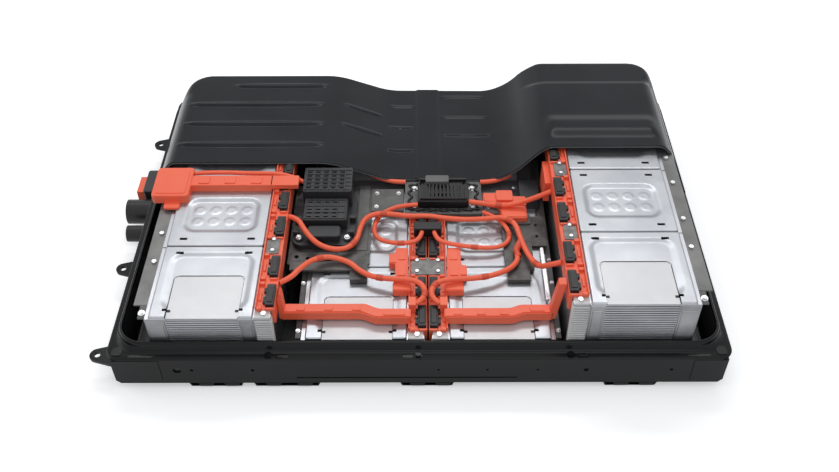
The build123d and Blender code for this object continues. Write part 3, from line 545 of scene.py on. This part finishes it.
def make_top_cover():
    """Terminal box on the left column with its foot, lid steps and flat cover."""
    parts = [block((-706, -608), (-80, 36), (LEFT_SEAT, LEFT_SEAT + 25), ORANGE, 9, 4, 3)]
    parts.append(block((-699, -617), (-70, 24), (LEFT_SEAT + 24.5, LEFT_SEAT + 26.5), ORANGE, 6, 1))
    parts.append(block((-672, -630), (-106, -74), (LEFT_SEAT, LEFT_SEAT + 6), ORANGE, 7, 1.5))
    parts.append(block((-612, -392), (-34, 6), (LEFT_SEAT, LEFT_SEAT + 22), ORANGE, 4, 3))
    parts.append(block((-396, -322), (-34, 6), (LEFT_SEAT + 9, LEFT_SEAT + 22), ORANGE, 4, 3))
    for x in (-590, -520, -450):
        parts.append(block((x, x + 30), (-28, 0), (LEFT_SEAT + 21.5, LEFT_SEAT + 24.5), ORANGE, 4))
    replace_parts(joined("top_left_duct", parts), "top_left_busbar_cover")


def make_centre_covers():
    """Flat finger guards beside the front centre links."""
    parts = []
    left = ((-61, -190), (-28, -190), (-28, -302), (-20, -314), (-20, -341), (-66, -341),
            (-66, -314), (-61, -302), (-61, -246), (-77, -246), (-77, -210), (-61, -210))
    parts.append(extruded("guard", left, GUARD_BOTTOM, GUARD_TOP, ORANGE, 2.5))
    right = ((72, -190), (108, -190), (108, -252), (122, -252), (122, -290), (108, -290),
             (108, -302), (112, -314), (112, -341), (66, -341), (66, -314), (72, -302))
    parts.append(extruded("guard", right, GUARD_BOTTOM, GUARD_TOP, ORANGE, 2.5))
    for x_range, y_range in (((-54, -34), (-236, -204)), ((-54, -34), (-292, -256)),
            ((78, 100), (-236, -204)), ((78, 100), (-292, -256))):
        parts.append(clip_on(x_range, y_range, GUARD_TOP))
    joined("centre_guards", parts)


# ---------------------------------------------------------------- service unit, boxes and brackets
def bolt(name, x, y, seat, width=12.0, high=6.0, material=ZINC):
    """Hexagon head with a washer under it."""
    washer = [(x + width * 0.72 * cos(k * pi / 10), y + width * 0.72 * sin(k * pi / 10)) for k in range(20)]
    head = [(x + width * 0.56 * cos(k * pi / 3 + 0.4),
             y + width * 0.56 * sin(k * pi / 3 + 0.4)) for k in range(6)]
    return [extruded(name, washer, seat, seat + 1.6, material, 0.4, 1),
            extruded(name, head, seat + 1.5, seat + high, material, 0.8)]


def wavy_ring(half_x, half_y, corner, swing, count):
    """Closed plan line round a rectangle that swings in and out."""
    base = ring_points(half_x, half_y, corner, 0, 10)
    line = []
    dense = []
    for k, (x, y, _) in enumerate(base):
        following = base[(k + 1) % len(base)]
        pieces = max(1, round(sqrt((following[0] - x) ** 2 + (following[1] - y) ** 2) / 3))
        for j in range(pieces):
            dense.append((x + (following[0] - x) * j / pieces, y + (following[1] - y) * j / pieces))
    for k, (x, y) in enumerate(dense):
        reach = sqrt(x * x + y * y)
        push = swing * sin(2 * pi * count * k / len(dense))
        line.append((x + x / reach * push, y + y / reach * push))
    return line


def make_service_details():
    """Wavy gasket bead, bolts, cooling ribs and pad of the service unit."""
    line = wavy_ring(91, 52, 12, 4.2, 18)
    rows = []
    for offset, z in GASKET_SECTION:
        ring = []
        for k, (x, y) in enumerate(line):
            reach = sqrt(x * x + y * y)
            ring.append((PLUG_MIDDLE + x * (1 + offset / reach), y * (1 + offset / reach), PLATE_TOP + z))
        rows.append(ring)
    add_piece("service_gasket", clean(grid_mesh("service_gasket", rows, closed=True)), BLACK_PLASTIC_AND_SHADE, 60)
    ribs = []
    for k in range(13):
        x = 8 + k * 9.7
        ribs.append(block((x, x + 3.4), (-34, 22), (PLUG_TOP - SUNK, PLUG_TOP + 6), BLACK_PLASTIC_AND_SHADE,
                1, 0.8, steps=3))
    for y_range in ((-41, -36), (36, 44)):
        ribs.append(block((2, 130), y_range, (PLUG_TOP - SUNK, PLUG_TOP + 7), BLACK_PLASTIC_AND_SHADE,
                2, 1, steps=3))
    joined("service_ribs", ribs)
    extruded("service_pad", rounded_outline((18, 82), (24, 52), 5), PLUG_TOP, PLUG_TOP + 10, RUBBER, 2)
    heads = []
    for x, y in ((-12, 34), (146, 34), (-12, -34), (146, -34)):
        heads += bolt("head", x, y, PLATE_TOP, 12, 7)
    joined("service_bolts", heads)


def make_box_details():
    """Ribs, latches and terminal posts on the junction boxes."""
    parts = []

    def rib(x_range, y_range, seat, rise):
        """Thin rib on a box's top."""
        parts.append(block(x_range, y_range, (seat - SUNK, seat + rise), DARK_PLASTIC, 1, 0.7, 1, 3))

    for x in range(-302, -196, 21):
        rib((x - 4, x - 1), (-34, 54), BOX_HIGH_TOP, 3)
    for y in range(-34, 60, 16):
        rib((-308, -184), (y, y + 3), BOX_HIGH_TOP, 2)
    for x in range(-300, -190, 21):
        rib((x - 2, x + 1), (-124, -46), BOX_LOW_TOP, 2.5)
    for y in (-124, -100, -76, -52):
        rib((-302, -194), (y, y + 3), BOX_LOW_TOP, 2)
    for x, y in ((-322, -150), (-250, -172), (-178, -150), (-322, -100), (-176, -96)):
        parts.append(block((x - 8, x + 8), (y - 6, y + 6), (BOX_BASE_TOP - SUNK, BOX_BASE_TOP + 16),
                DARK_PLASTIC, 3, 1.5))
    parts.append(block((-292, -206), (-176, -134), (BOX_BASE_TOP - SUNK, BOX_BASE_TOP + 20), DARK_PLASTIC,
            9, 3, 3))
    joined("junction_box_ribs", parts)
    heads = []
    for x, y in ((-314, -164), (-188, -164)):
        heads += bolt("head", x, y, BOX_BASE_TOP + 5, 11, 6)
    joined("junction_box_bolts", heads)


# ---------------------------------------------------------------- small plates
PLATES = (
    # x limits, y limits, bottom, top
    ((-165, -135), (-192, 60), 144, 150),
    ((-130, -42), (-45, 45), 144, 152),
    ((176, 230), (-57, 32), 144, 151),
    ((240, 300), (-96, -60), 146, 153),
    ((-332, -168), (-267, -239), 148, 154),
)
ORANGE_BLOCKS = (
    ((210, 255), (-30, 10), 150, 178),
    ((247, 291), (-44, -8), 150, 172),
)
ORANGE_ELBOW = ((175, 10), (230, 10), (230, -25), (290, -45), (290, -90), (225, -90), (215, -35),
        (175, -25))
PLATE_BOLTS = ((-116, 27), (-56, 27), (-116, -27), (-56, -27), (190, -30), (220, -36), (265, 52),
        (265, -78))
ELBOW_LIMITS = (137.3, 170)
SLEEVE_RADIUS = 6.5
SLEEVE_HIGH = 162.0


def tube(name, path, radii, material, turns=20):
    """Tube with its own radius at each point of a path."""
    rows = []
    for k, point in enumerate(path):
        here = Vector(point)
        ahead = (Vector(path[min(k + 1, len(path) - 1)]) - Vector(path[max(k - 1, 0)])).normalized()
        aside = ahead.cross(Vector((0, 0, 1))).normalized()
        upward = aside.cross(ahead)
        rows.append([tuple(here + aside * radii[k] * cos(2 * pi * j / turns)
                      + upward * radii[k] * sin(2 * pi * j / turns))
                for j in range(turns)])
    return add_piece(name, clean(grid_mesh(name, rows, closed=True)), material, 50)


def make_small_plates():
    """Folded plates, orange housings and screws round the service unit."""
    parts = [block(x_range, y_range, (low, high), PLATE_GREY, 2, 0.8, 1, steps=3)
             for x_range, y_range, low, high in PLATES]
    joined("centre_plates", parts)
    parts = [block(x_range, y_range, (low, high), ORANGE, 5, 3, 3)
             for x_range, y_range, low, high in ORANGE_BLOCKS]
    parts.append(extruded("elbow", ORANGE_ELBOW, *ELBOW_LIMITS, ORANGE, 3, 3))
    joined("orange_bodies", parts)
    heads = []
    for x, y in PLATE_BOLTS:
        heads += bolt("head", x, y, 151, 9, 5)
    joined("plate_bolts", heads)
    tube("branch_boot", ((252, -213, 160), (252, -205, 160), (258, -190, 162), (265, -176, 164),
                         (267, -170, 165.5)),
         (8.2, 8.8, 9.2, 8.6, 7.4), TAPE)
    for name, start, end, near, rise in (("rear_left_sleeve", -37, -156, 63, 52),
            ("rear_right_sleeve", 170, 256, 62, 30)):
        shares = spread(0, 1, 9)
        path = [(start + (end - start) * share, near + rise * share ** 2.2,
                 SLEEVE_HIGH) for share in shares]
        tube(name, path, [SLEEVE_RADIUS] * len(path), ORANGE)
    rail = [block((316, 324), (-367, -185), (144, 151), ZINC, 3.5, 2.5)]
    joined("bonding_rod", rail)


def make_side_rails():
    """Steel edge rails with bolts on the outer sides of the centre columns."""
    rails, heads = [], []
    for column_name in ("centre_left", "centre_right"):
        outer, side, top = COLUMN_PLACES[column_name][:3]
        rails.append(box_across(column_name, (-15, -1), (-470, 200), (top - 14, top - 9), PLATE_GREY, 1))
        rails.append(box_across(column_name, (-4, -1), (-470, 200), (60, top - 10), PLATE_GREY, 0.8))
        for y in (-448, -372, -290, -210):
            heads += bolt("head", outer - side * 9, y, top - 9, 8, 5)
    for column_name in ("left", "right"):
        outer, side, top = COLUMN_PLACES[column_name][:3]
        rails.append(box_across(column_name, (-17, -0.5), (-474, -431.5), (top - 12, top - 8),
                CLAMP_STEEL, 1))
        rails.append(box_across(column_name, (-3, -0.5), (-474, -431.5), (60, top - 11), CLAMP_STEEL, 0.6))
        heads += bolt("head", outer - side * 9, -458, top - 8, 12, 6)
    joined("centre_side_rails", rails)
    joined("centre_rail_bolts", heads)


# ---------------------------------------------------------------- cables
CABLE = 14.0
THIN_CABLE = 12.0
BOOT_Y = -386.0
STRIP_FACE = 342.7
RIGHT_STRIP_FACE = 351.7
ROUTES = {
    "main_crossing": (CABLE,
                      ((-STRIP_FACE, -115, 198), (-318, -122, 198), (-300, -158, 194), (-274, -191, 184),
                              (-246, -205, 174), (-212, -209, 168), (-181, -199, 166), (-161, -167, 166),
                              (-156, -126, 166), (-145, -90, 167), (-116, -72, 169), (-73, -76, 170),
                              (-25, -86, 170), (22, -84, 171), (68, -94, 171), (122, -99, 170),
                              (180, -96, 170), (228, -88, 170), (256, -112, 169), (264, -156, 167),
                              (274, -204, 166), (290, -252, 168), (307, -285, 182), (321, -308, 212),
                              (RIGHT_STRIP_FACE, -316, 230))),
    "left_front": (CABLE,
                   ((-STRIP_FACE, -352, 198), (-318, -338, 198), (-300, -300, 192), (-272, -256, 180),
                           (-236, -236, 171), (-202, -240, 166), (-174, -252, 163), (-152, -277, 162),
                           (-119, -299, 162), (-79, -309, 165), (-38, -314, 169), (-4, -322, 171),
                           (16, -346, 169), (12, -375, 163), (-7.7, BOOT_Y, 158))),
    "left_rear": (THIN_CABLE, ((-3.3, -40, 171), (-44, -40, 168), (-82, -46, 158), (-108, -66, 152),
                               (-119, -98, 150), (-119, -134, 153), (-102, -164, 158), (-66, -179, 162),
                               (-28, -182, 165), (2, -170, 165), (8, -140.3, 165))),
    "right_rear": (THIN_CABLE, ((40, -140.3, 165), (46, -170, 165), (78, -184, 165), (120, -191, 162),
                                (168, -195, 159), (212, -190, 157), (238, -164, 156), (238, -122, 155),
                                (212, -76, 156), (172.3, -56, 157))),
    "right_front": (CABLE, ((51.7, BOOT_Y, 158), (33, -375, 163), (30, -347, 169), (49, -323, 171),
                            (88, -314, 169), (140, -307, 163), (192, -293, 161), (233, -270, 160),
                            (258, -236, 160), (252, -207.3, 160))),
    "right_upper": (CABLE, ((135.3, -32, 174), (190, -44, 175), (240, -53, 178), (286, -46, 188),
                            (320, -54, 212), (RIGHT_STRIP_FACE, -58, 234))),
    "left_upper": (THIN_CABLE, ((-607.7, 22, 231), (-540, 29, 229), (-462, 21, 231), (-395, 19, 233),
                                (-345, 17, 226), (-312.3, 13, 206))), }


def make_cable(name, diameter, points):
    """Smooth cable that stands for the CAD tube of the same route."""
    curve = bpy.data.curves.new(name + "_sheath", "CURVE")
    curve.dimensions = "3D"
    spline = curve.splines.new("NURBS")
    spline.points.add(len(points) - 1)
    for point, target in zip(spline.points, points):
        point.co = (*place(*target), 1)
    spline.order_u = 3
    spline.use_endpoint_u = True
    curve.resolution_u = 8
    curve.bevel_depth = diameter / 2 * MM
    curve.bevel_resolution = 5
    curve.use_fill_caps = True
    curve.materials.append(ORANGE_CABLE)
    piece = bpy.data.objects.new(name + "_sheath", curve)
    bpy.context.scene.collection.objects.link(piece)
    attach(piece, "root")
    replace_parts(piece, name + "_cable")
    return piece


TAPES = (("main_crossing", (6, 10, 17, 21)), ("left_front", (3, 8, 12)), ("left_rear", (3, 7)),
         ("right_rear", (3, 6)), ("right_front", (2, 5, 8)), ("right_upper", (1,)))


def make_tapes():
    """Tape bands where the harness is bound, at the middle of a run, where a sheath lies on its route."""
    for name, runs in TAPES:
        diameter, route = ROUTES[name]
        for run in runs:
            start, end = Vector(route[run]), Vector(route[run + 1])
            middle, ahead = (start + end) / 2, (end - start).normalized()
            aside = ahead.cross(Vector((0, 0, 1))).normalized()
            upward = aside.cross(ahead)
            rows = []
            for shift, grow in ((-9, 0.2), (-8.6, 1.0), (0, 1.2), (8.6, 1.0), (9, 0.2)):
                radius = diameter / 2 + grow
                rows.append([tuple(middle + ahead * shift + aside * radius * cos(2 * pi * k / 24)
                        + upward * radius * sin(2 * pi * k / 24)) for k in range(24)])
            add_piece(name + "_tape", clean(grid_mesh("tape", rows, closed=True)), TAPE, 50)


# ---------------------------------------------------------------- cover
FLANGE_TOP = 111.0
COVER_CUT = 68.8
COVER_SHEET = 2.5
FOOT_X = 743.0
FOOT_Y = 506.0
FOOT_CORNER = 70.0
WALL_CORNER = 120.0
RIM = 11.0
SIDE_SLOPE = 1 / tan(radians(18.5))
BACK_SLOPE = 1 / tan(radians(8.0))
PLATEAU, VALLEY, BULGE = 228.0, 163.5, 282.0
TOP_LINE = ((-800, PLATEAU), (-243, PLATEAU), (-92, VALLEY + 3), (222, VALLEY), (298, 216), (333, BULGE),
        (800, BULGE))


def smooth_step(value, low, high):
    """0 below low, 1 above high, smooth between."""
    t = min(1.0, max(0.0, (value - low) / (high - low)))
    return t * t * (3 - 2 * t)


def soft_min(a, b, radius):
    """Smaller of two heights, rounded where they cross."""
    mix = max(0.0, radius - abs(a - b)) / radius
    return min(a, b) - mix * mix * radius / 4


def top_height(x):
    """Height of the cover's top line, its corners rounded by averaging along X."""
    def straight(at):
        for (x0, z0), (x1, z1) in zip(TOP_LINE, TOP_LINE[1:]):
            if at <= x1:
                return z0 + (z1 - z0) * (at - x0) / (x1 - x0)
        return TOP_LINE[-1][1]
    reach = 34
    return sum(straight(x + reach * k / 6) for k in range(-6, 7)) / 13


def bead(x, y, x_range, y_middle, half_width, height):
    """Long lens-shaped bead that fades out towards its ends."""
    middle = (x_range[0] + x_range[1]) / 2
    half = (x_range[1] - x_range[0]) / 2
    along = 1 - ((x - middle) / half) ** 2
    if along <= 0:
        return 0.0
    width = half_width * (0.45 + 0.55 * sqrt(along))
    across = abs(y - y_middle) / width
    return height * (1 - across * across) ** 2 * min(1.0, along * 3) if across < 1 else 0.0


PLATEAU_BEADS = ((-556, -270, 424), (-678, -274, 333), (-680, -268, 241), (-682, -262, 147))
SLOPE_BEADS = ((-222, -112, 344), (-226, -108, 252))
VALLEY_BEADS = ((-88, -12, 402), (-94, -12, 299), (-96, -12, 192), (66, 206, 351), (66, 218, 263),
        (66, 200, 452))


def cover_detail(x, y):
    """Pressed beads, the centre channel and the steps on the tall side."""
    lift = sum(bead(x, y, (low, high), at, 14, 6.5) for low, high, at in PLATEAU_BEADS)
    lift += sum(bead(x, y, (low, high), at, 10, 5.0) for low, high, at in SLOPE_BEADS)
    lift += sum(bead(x, y, (low, high), at, 5.5, 3.5) for low, high, at in VALLEY_BEADS)
    channel = smooth_step(x, -10, -3) - smooth_step(x, 55, 62)
    lift += 4.0 * channel
    step = smooth_step(x, 345, 378) - smooth_step(x, 636, 668)
    lift += 9.0 * step * (smooth_step(y, 98, 146) - smooth_step(y, 166, 214))
    crease = 368 + 26 * (1 - smooth_step(x, 300, 362))
    lift -= 7.0 * smooth_step(x, 300, 345) * smooth_step(y, crease - 10, crease + 10)
    return lift


def wall_height(x, y):
    """Height of the drawn side and back walls over the cover's foot."""
    side, back = FOOT_X - abs(x), FOOT_Y - y
    u, v = max(0.0, WALL_CORNER - side), max(0.0, WALL_CORNER - back)
    depth = WALL_CORNER - sqrt(u * u + v * v) if u > 0 and v > 0 else min(side, back)
    share = u * u / (u * u + v * v) if u > 0 and v > 0 else (1.0 if side < back else 0.0)
    slope = SIDE_SLOPE * share + BACK_SLOPE * (1 - share)
    if u == 0 and v == 0:
        return FLANGE_TOP + min(side * SIDE_SLOPE, back * BACK_SLOPE)
    return FLANGE_TOP + depth * slope


def rim_point(x, y):
    """Pulls a point back onto the rim's rounded outline."""
    outer_x, outer_y = FOOT_X + RIM, FOOT_Y + RIM
    corner = FOOT_CORNER
    u, v = abs(x) - (outer_x - corner), y - (outer_y - corner)
    if u > 0 and v > 0 and u * u + v * v > corner * corner:
        scale = corner / sqrt(u * u + v * v)
        x = (outer_x - corner + u * scale) * (1 if x > 0 else -1)
        y = outer_y - corner + v * scale
    return x, y


def cover_point(x, y):
    """One point of the cover's outer face: pressed top, drawn walls and flat rim, blended."""
    x, y = rim_point(x, y)
    top = top_height(x) + cover_detail(x, y)
    high = soft_min(top, wall_height(x, y), 105)
    low = FLANGE_TOP + COVER_SHEET
    return (x, y, -soft_min(-high, -low, 8))


def make_cover():
    """Pressed cover: one height field with soft edges and beads, thickened inwards."""
    edge = FOOT_X + RIM
    xs = spread(-edge, -FOOT_X + 58, 44) + spread(-FOOT_X + 62, FOOT_X - 62, 330)
    xs += spread(FOOT_X - 58, edge, 44)
    ys = spread(COVER_CUT, FOOT_Y - 34, 96) + spread(FOOT_Y - 33, FOOT_Y + RIM, 56)
    mesh = clean(grid_mesh("cover_shell", [[cover_point(x, y) for x in xs] for y in ys]))
    piece = add_piece("cover_shell", mesh, COVER_PAINT, 60)
    thick = piece.modifiers.new("sheet", "SOLIDIFY")
    thick.thickness = COVER_SHEET * MM
    thick.offset = -1
    apply_modifiers(piece)
    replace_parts(piece, "cover")
    return piece


def make_cut_edge():
    """Bright sawn edge of the cover: a thin band along its section."""
    xs = spread(-FOOT_X - RIM, -FOOT_X + 58, 40) + spread(-FOOT_X + 62, FOOT_X - 62, 240)
    xs += spread(FOOT_X - 58, FOOT_X + RIM, 40)
    line = [cover_point(x, COVER_CUT + 0.5) for x in xs]
    rows = []
    for dy, dz in ((0, 0.5), (-2.2, -0.3), (-2.6, -2.2), (-1.6, -3.6), (1.5, -3.8)):
        rows.append([(x, y + dy, z + dz) for x, y, z in line])
    return add_piece("cover_cut_edge", clean(grid_mesh("cover_cut_edge", rows)), CUT_EDGE, 60)


# ---------------------------------------------------------------- tray
TRAY_RINGS = (
    # half length, half width, corner radius, height
    (717, 477.5, 51, 23.2), (721, 481.5, 55, 24), (725, 485.5, 59, 28), (725, 485.5, 59, 130),
    (725.3, 485.8, 59.3, 135.5), (726.6, 487.1, 60.6, 138), (729, 489.5, 63, 138.4),
    (731.6, 492.1, 65.6, 137.2),
    (733.4, 493.9, 67.4, 134), (734.6, 495.1, 68.6, 128), (736, 496.5, 70, 120), (738, 499, 60, 115),
    (742, 503, 56, 112.2), (748, 508, 52, 111.2), (753.5, 519.5, 36, 110.8), (755.4, 521.8, 35, 109.8),
    (756, 522.5, 34, 108), (755.8, 522.3, 34, 106.2), (754, 520.5, 33, 105.8), (729, 489.5, 62, 105.8),
    (728, 488.5, 62, 104), (728, 488.5, 62, 26), (725, 485.5, 59, 19.5), (720, 480.5, 54, 18),
)


def ring_points(half_x, half_y, corner, z, steps=14):
    """Rounded rectangle, counter-clockwise."""
    points = []
    for quarter, (sx, sy) in enumerate(((1, 1), (-1, 1), (-1, -1), (1, -1))):
        for k in range(steps):
            angle = (quarter + k / (steps - 1)) * pi / 2
            points.append((sx * (half_x - corner) + corner * cos(angle),
                    sy * (half_y - corner) + corner * sin(angle), z))
    return points


def make_tray():
    """Drawn tub with its rolled lip and flange; the floor closes it below."""
    rows = [ring_points(*ring) for ring in TRAY_RINGS]
    mesh = grid_mesh("tray_pressing", rows, closed=True)
    work = bmesh.new()
    work.from_mesh(mesh)
    work.verts.ensure_lookup_table()
    count = len(rows[0])
    work.faces.new([work.verts[k] for k in range(count)])
    work.faces.new([work.verts[(len(rows) - 1) * count + k] for k in range(count)])
    work.to_mesh(mesh)
    work.free()
    piece = add_piece("tray_pressing", clean(mesh), FRAME_PAINT, 50)
    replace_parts(piece, "tray")
    return piece


FLANGE_SLOTS = ((-342, -318), (-37, -17), (382, 406))
FLANGE_BOLTS = (-363, -2, 364)
FLANGE_BOLT_Y = -510.5
MEMBER_SPANS = ((-570, -432), (-410, -242), (-49, 88), (452, 589))


def make_frame_details():
    """Raised slots with black patches of painted shade in them, corner pads on the flange, lap plates on
    the rail.
    """
    rims, shade_patches = [], []
    for low, high in FLANGE_SLOTS:
        rims.append(block((low - 3, high + 3), (-519, -506), (110.5, 112.2), FRAME_PAINT, 6, 0.8, steps=6))
        # Black patch in each slot: painted shade that stands for the slot's dark opening
        shade_patches.append(block((low, high), (-516, -509), (112, 112.5), BLACK_PLASTIC_AND_SHADE, 3.4, 0.2, steps=6))
    for side in (-1, 1):
        low, high = sorted((side * 742, side * 716))
        rims.append(block((low, high), (-512, -484), (110.5, 113), FRAME_PAINT, 9, 1.2, steps=6))
        low, high = sorted((side * 700, side * 640))
        rims.append(block((low, high), (-516, -509), (110.5, 112), FRAME_PAINT, 3.4, 0.8, steps=6))
    rims.append(extruded("lap", [(-743, -522.8), (-628, -522.8), (-628, -520.5), (-743, -520.5)], 30, 105,
            FRAME_PAINT, 0.5))
    rims.append(extruded("lap", [(662, -522.6), (743, -522.6), (743, -520.5), (662, -520.5)], 30, 105,
            FRAME_PAINT, 0.5))
    rims.append(extruded("bead", [(-300, -522.4), (240, -522.4), (240, -520.5), (-300, -520.5)], 34, 39,
            FRAME_PAINT, 0.6))
    for x in FLANGE_BOLTS:
        rims += bolt("cap", x, FLANGE_BOLT_Y, FLANGE_TOP, 14.5, 7.0, FRAME_PAINT)
    joined("frame_details", rims)
    extruded("rail_backing", [(-738, -517), (738, -517), (738, -515.5), (-738, -515.5)], 24, 102,
             BLACK_PLASTIC_AND_SHADE, 0.2, 1)
    joined("slot_shade_patches", shade_patches)
    feet = []
    for left, right in MEMBER_SPANS:
        for share in (0.22, 0.68):
            x = left + (right - left) * share
            feet.append(side_profile("boss", ((x, 4), (x + 30, 4), (x + 36, 18), (x - 6, 18)),
                    (-521, -513), FRAME_PAINT))
    joined("skid_bosses", feet)


# ---------------------------------------------------------------- floor, light, camera
def light_path_mix(tree, indirect, seen):
    """Value that camera, glossy and transmission rays see, and another for all other rays."""
    path = tree.nodes.new("ShaderNodeLightPath")
    total = path.outputs["Is Camera Ray"]
    for output in ("Is Glossy Ray", "Is Transmission Ray"):
        largest = tree.nodes.new("ShaderNodeMath")
        largest.operation = "MAXIMUM"
        tree.links.new(total, largest.inputs[0])
        tree.links.new(path.outputs[output], largest.inputs[1])
        total = largest.outputs[0]
    mix = tree.nodes.new("ShaderNodeMix")
    mix.data_type = "RGBA"
    tree.links.new(total, mix.inputs["Factor"])
    mix.inputs["A"].default_value = (*indirect, 1)
    mix.inputs["B"].default_value = (*seen, 1)
    return mix.outputs["Result"]


def make_floor():
    """Pale studio floor that keeps the shadow."""
    size = 12.0
    mesh = bpy.data.meshes.new("studio_floor")
    mesh.from_pydata([(-size, -size, 0), (size, -size, 0), (size, size, 0), (-size, size, 0)], [],
            [(0, 1, 2, 3)])
    floor = bpy.data.objects.new("studio_floor", mesh)
    bpy.context.scene.collection.objects.link(floor)
    material, tree, shader = new_material("studio_floor")
    tree.links.new(light_path_mix(tree, (0.6, 0.6, 0.6), (1.0, 1.0, 1.0)), shader.inputs["Base Color"])
    tree.links.new(light_path_mix(tree, (0.0, 0.0, 0.0), (0.36, 0.36, 0.36)),
            shader.inputs["Emission Color"])
    shader.inputs["Emission Strength"].default_value = 1.0
    shader.inputs["Roughness"].default_value = 0.9
    shader.inputs["Specular IOR Level"].default_value = 0.0
    mesh.materials.append(material)


def make_world():
    """Dim surroundings that camera and mirror rays see as white."""
    world = bpy.data.worlds.new("studio")
    bpy.context.scene.world = world
    world.use_nodes = True
    tree = world.node_tree
    background = tree.nodes["Background"]
    tree.links.new(light_path_mix(tree, (0.40, 0.41, 0.43), (1.0, 1.0, 1.0)), background.inputs["Color"])


def make_area(name, location, target, size, energy):
    """Rectangular lamp turned towards a target."""
    light = bpy.data.lights.new(name, "AREA")
    light.shape = "RECTANGLE"
    light.size, light.size_y = size
    light.energy = energy
    lamp = bpy.data.objects.new(name, light)
    bpy.context.scene.collection.objects.link(lamp)
    lamp.location = location
    lamp.rotation_euler = (Vector(target) - Vector(location)).to_track_quat("-Z", "Y").to_euler()


def make_lights():
    """Strip behind, soft boxes above, in front and at the left."""
    make_area("back_softbox", (0.0, 1.7, 3.1), (0, 0, 0), (3.6, 0.5), 38)
    make_area("top_softbox", (0.2, -0.6, 3.4), (0, 0, 0), (3.0, 1.2), 15)
    make_area("front_softbox", (0.4, -2.8, 2.2), (0, 0, 0.1), (2.6, 1.2), 13)
    make_area("left_softbox", (-3.0, 0.2, 1.6), (0, 0, 0.1), (1.2, 2.4), 11)


def make_camera():
    """View from the front and above."""
    camera = bpy.data.cameras.new("camera")
    camera.sensor_width = 36.0
    camera.lens = 960.24 / 839 * 36.0
    viewer = bpy.data.objects.new("camera", camera)
    bpy.context.scene.collection.objects.link(viewer)
    viewer.location = place(4.41, -1958.59, 1928.51)
    viewer.rotation_euler = (radians(90 - 44.368), radians(0.15), radians(-0.05))
    bpy.context.scene.camera = viewer


# ---------------------------------------------------------------- everything
finish_nodes()
for cable_name, (thickness, route) in ROUTES.items():
    make_cable(cable_name, thickness, route)
make_tapes()
for column_key in COLUMN_PLACES:
    make_lid_sheets(column_key)
    make_stack_fronts(column_key)
    make_terminal_details(column_key)
make_frame_details()
make_front_covers()
make_top_cover()
make_centre_covers()
make_service_details()
make_box_details()
make_small_plates()
make_side_rails()
make_cover()
make_cut_edge()
make_tray()
make_floor()
make_world()
make_lights()
make_camera()
bpy.context.scene.view_settings.view_transform = "Standard"
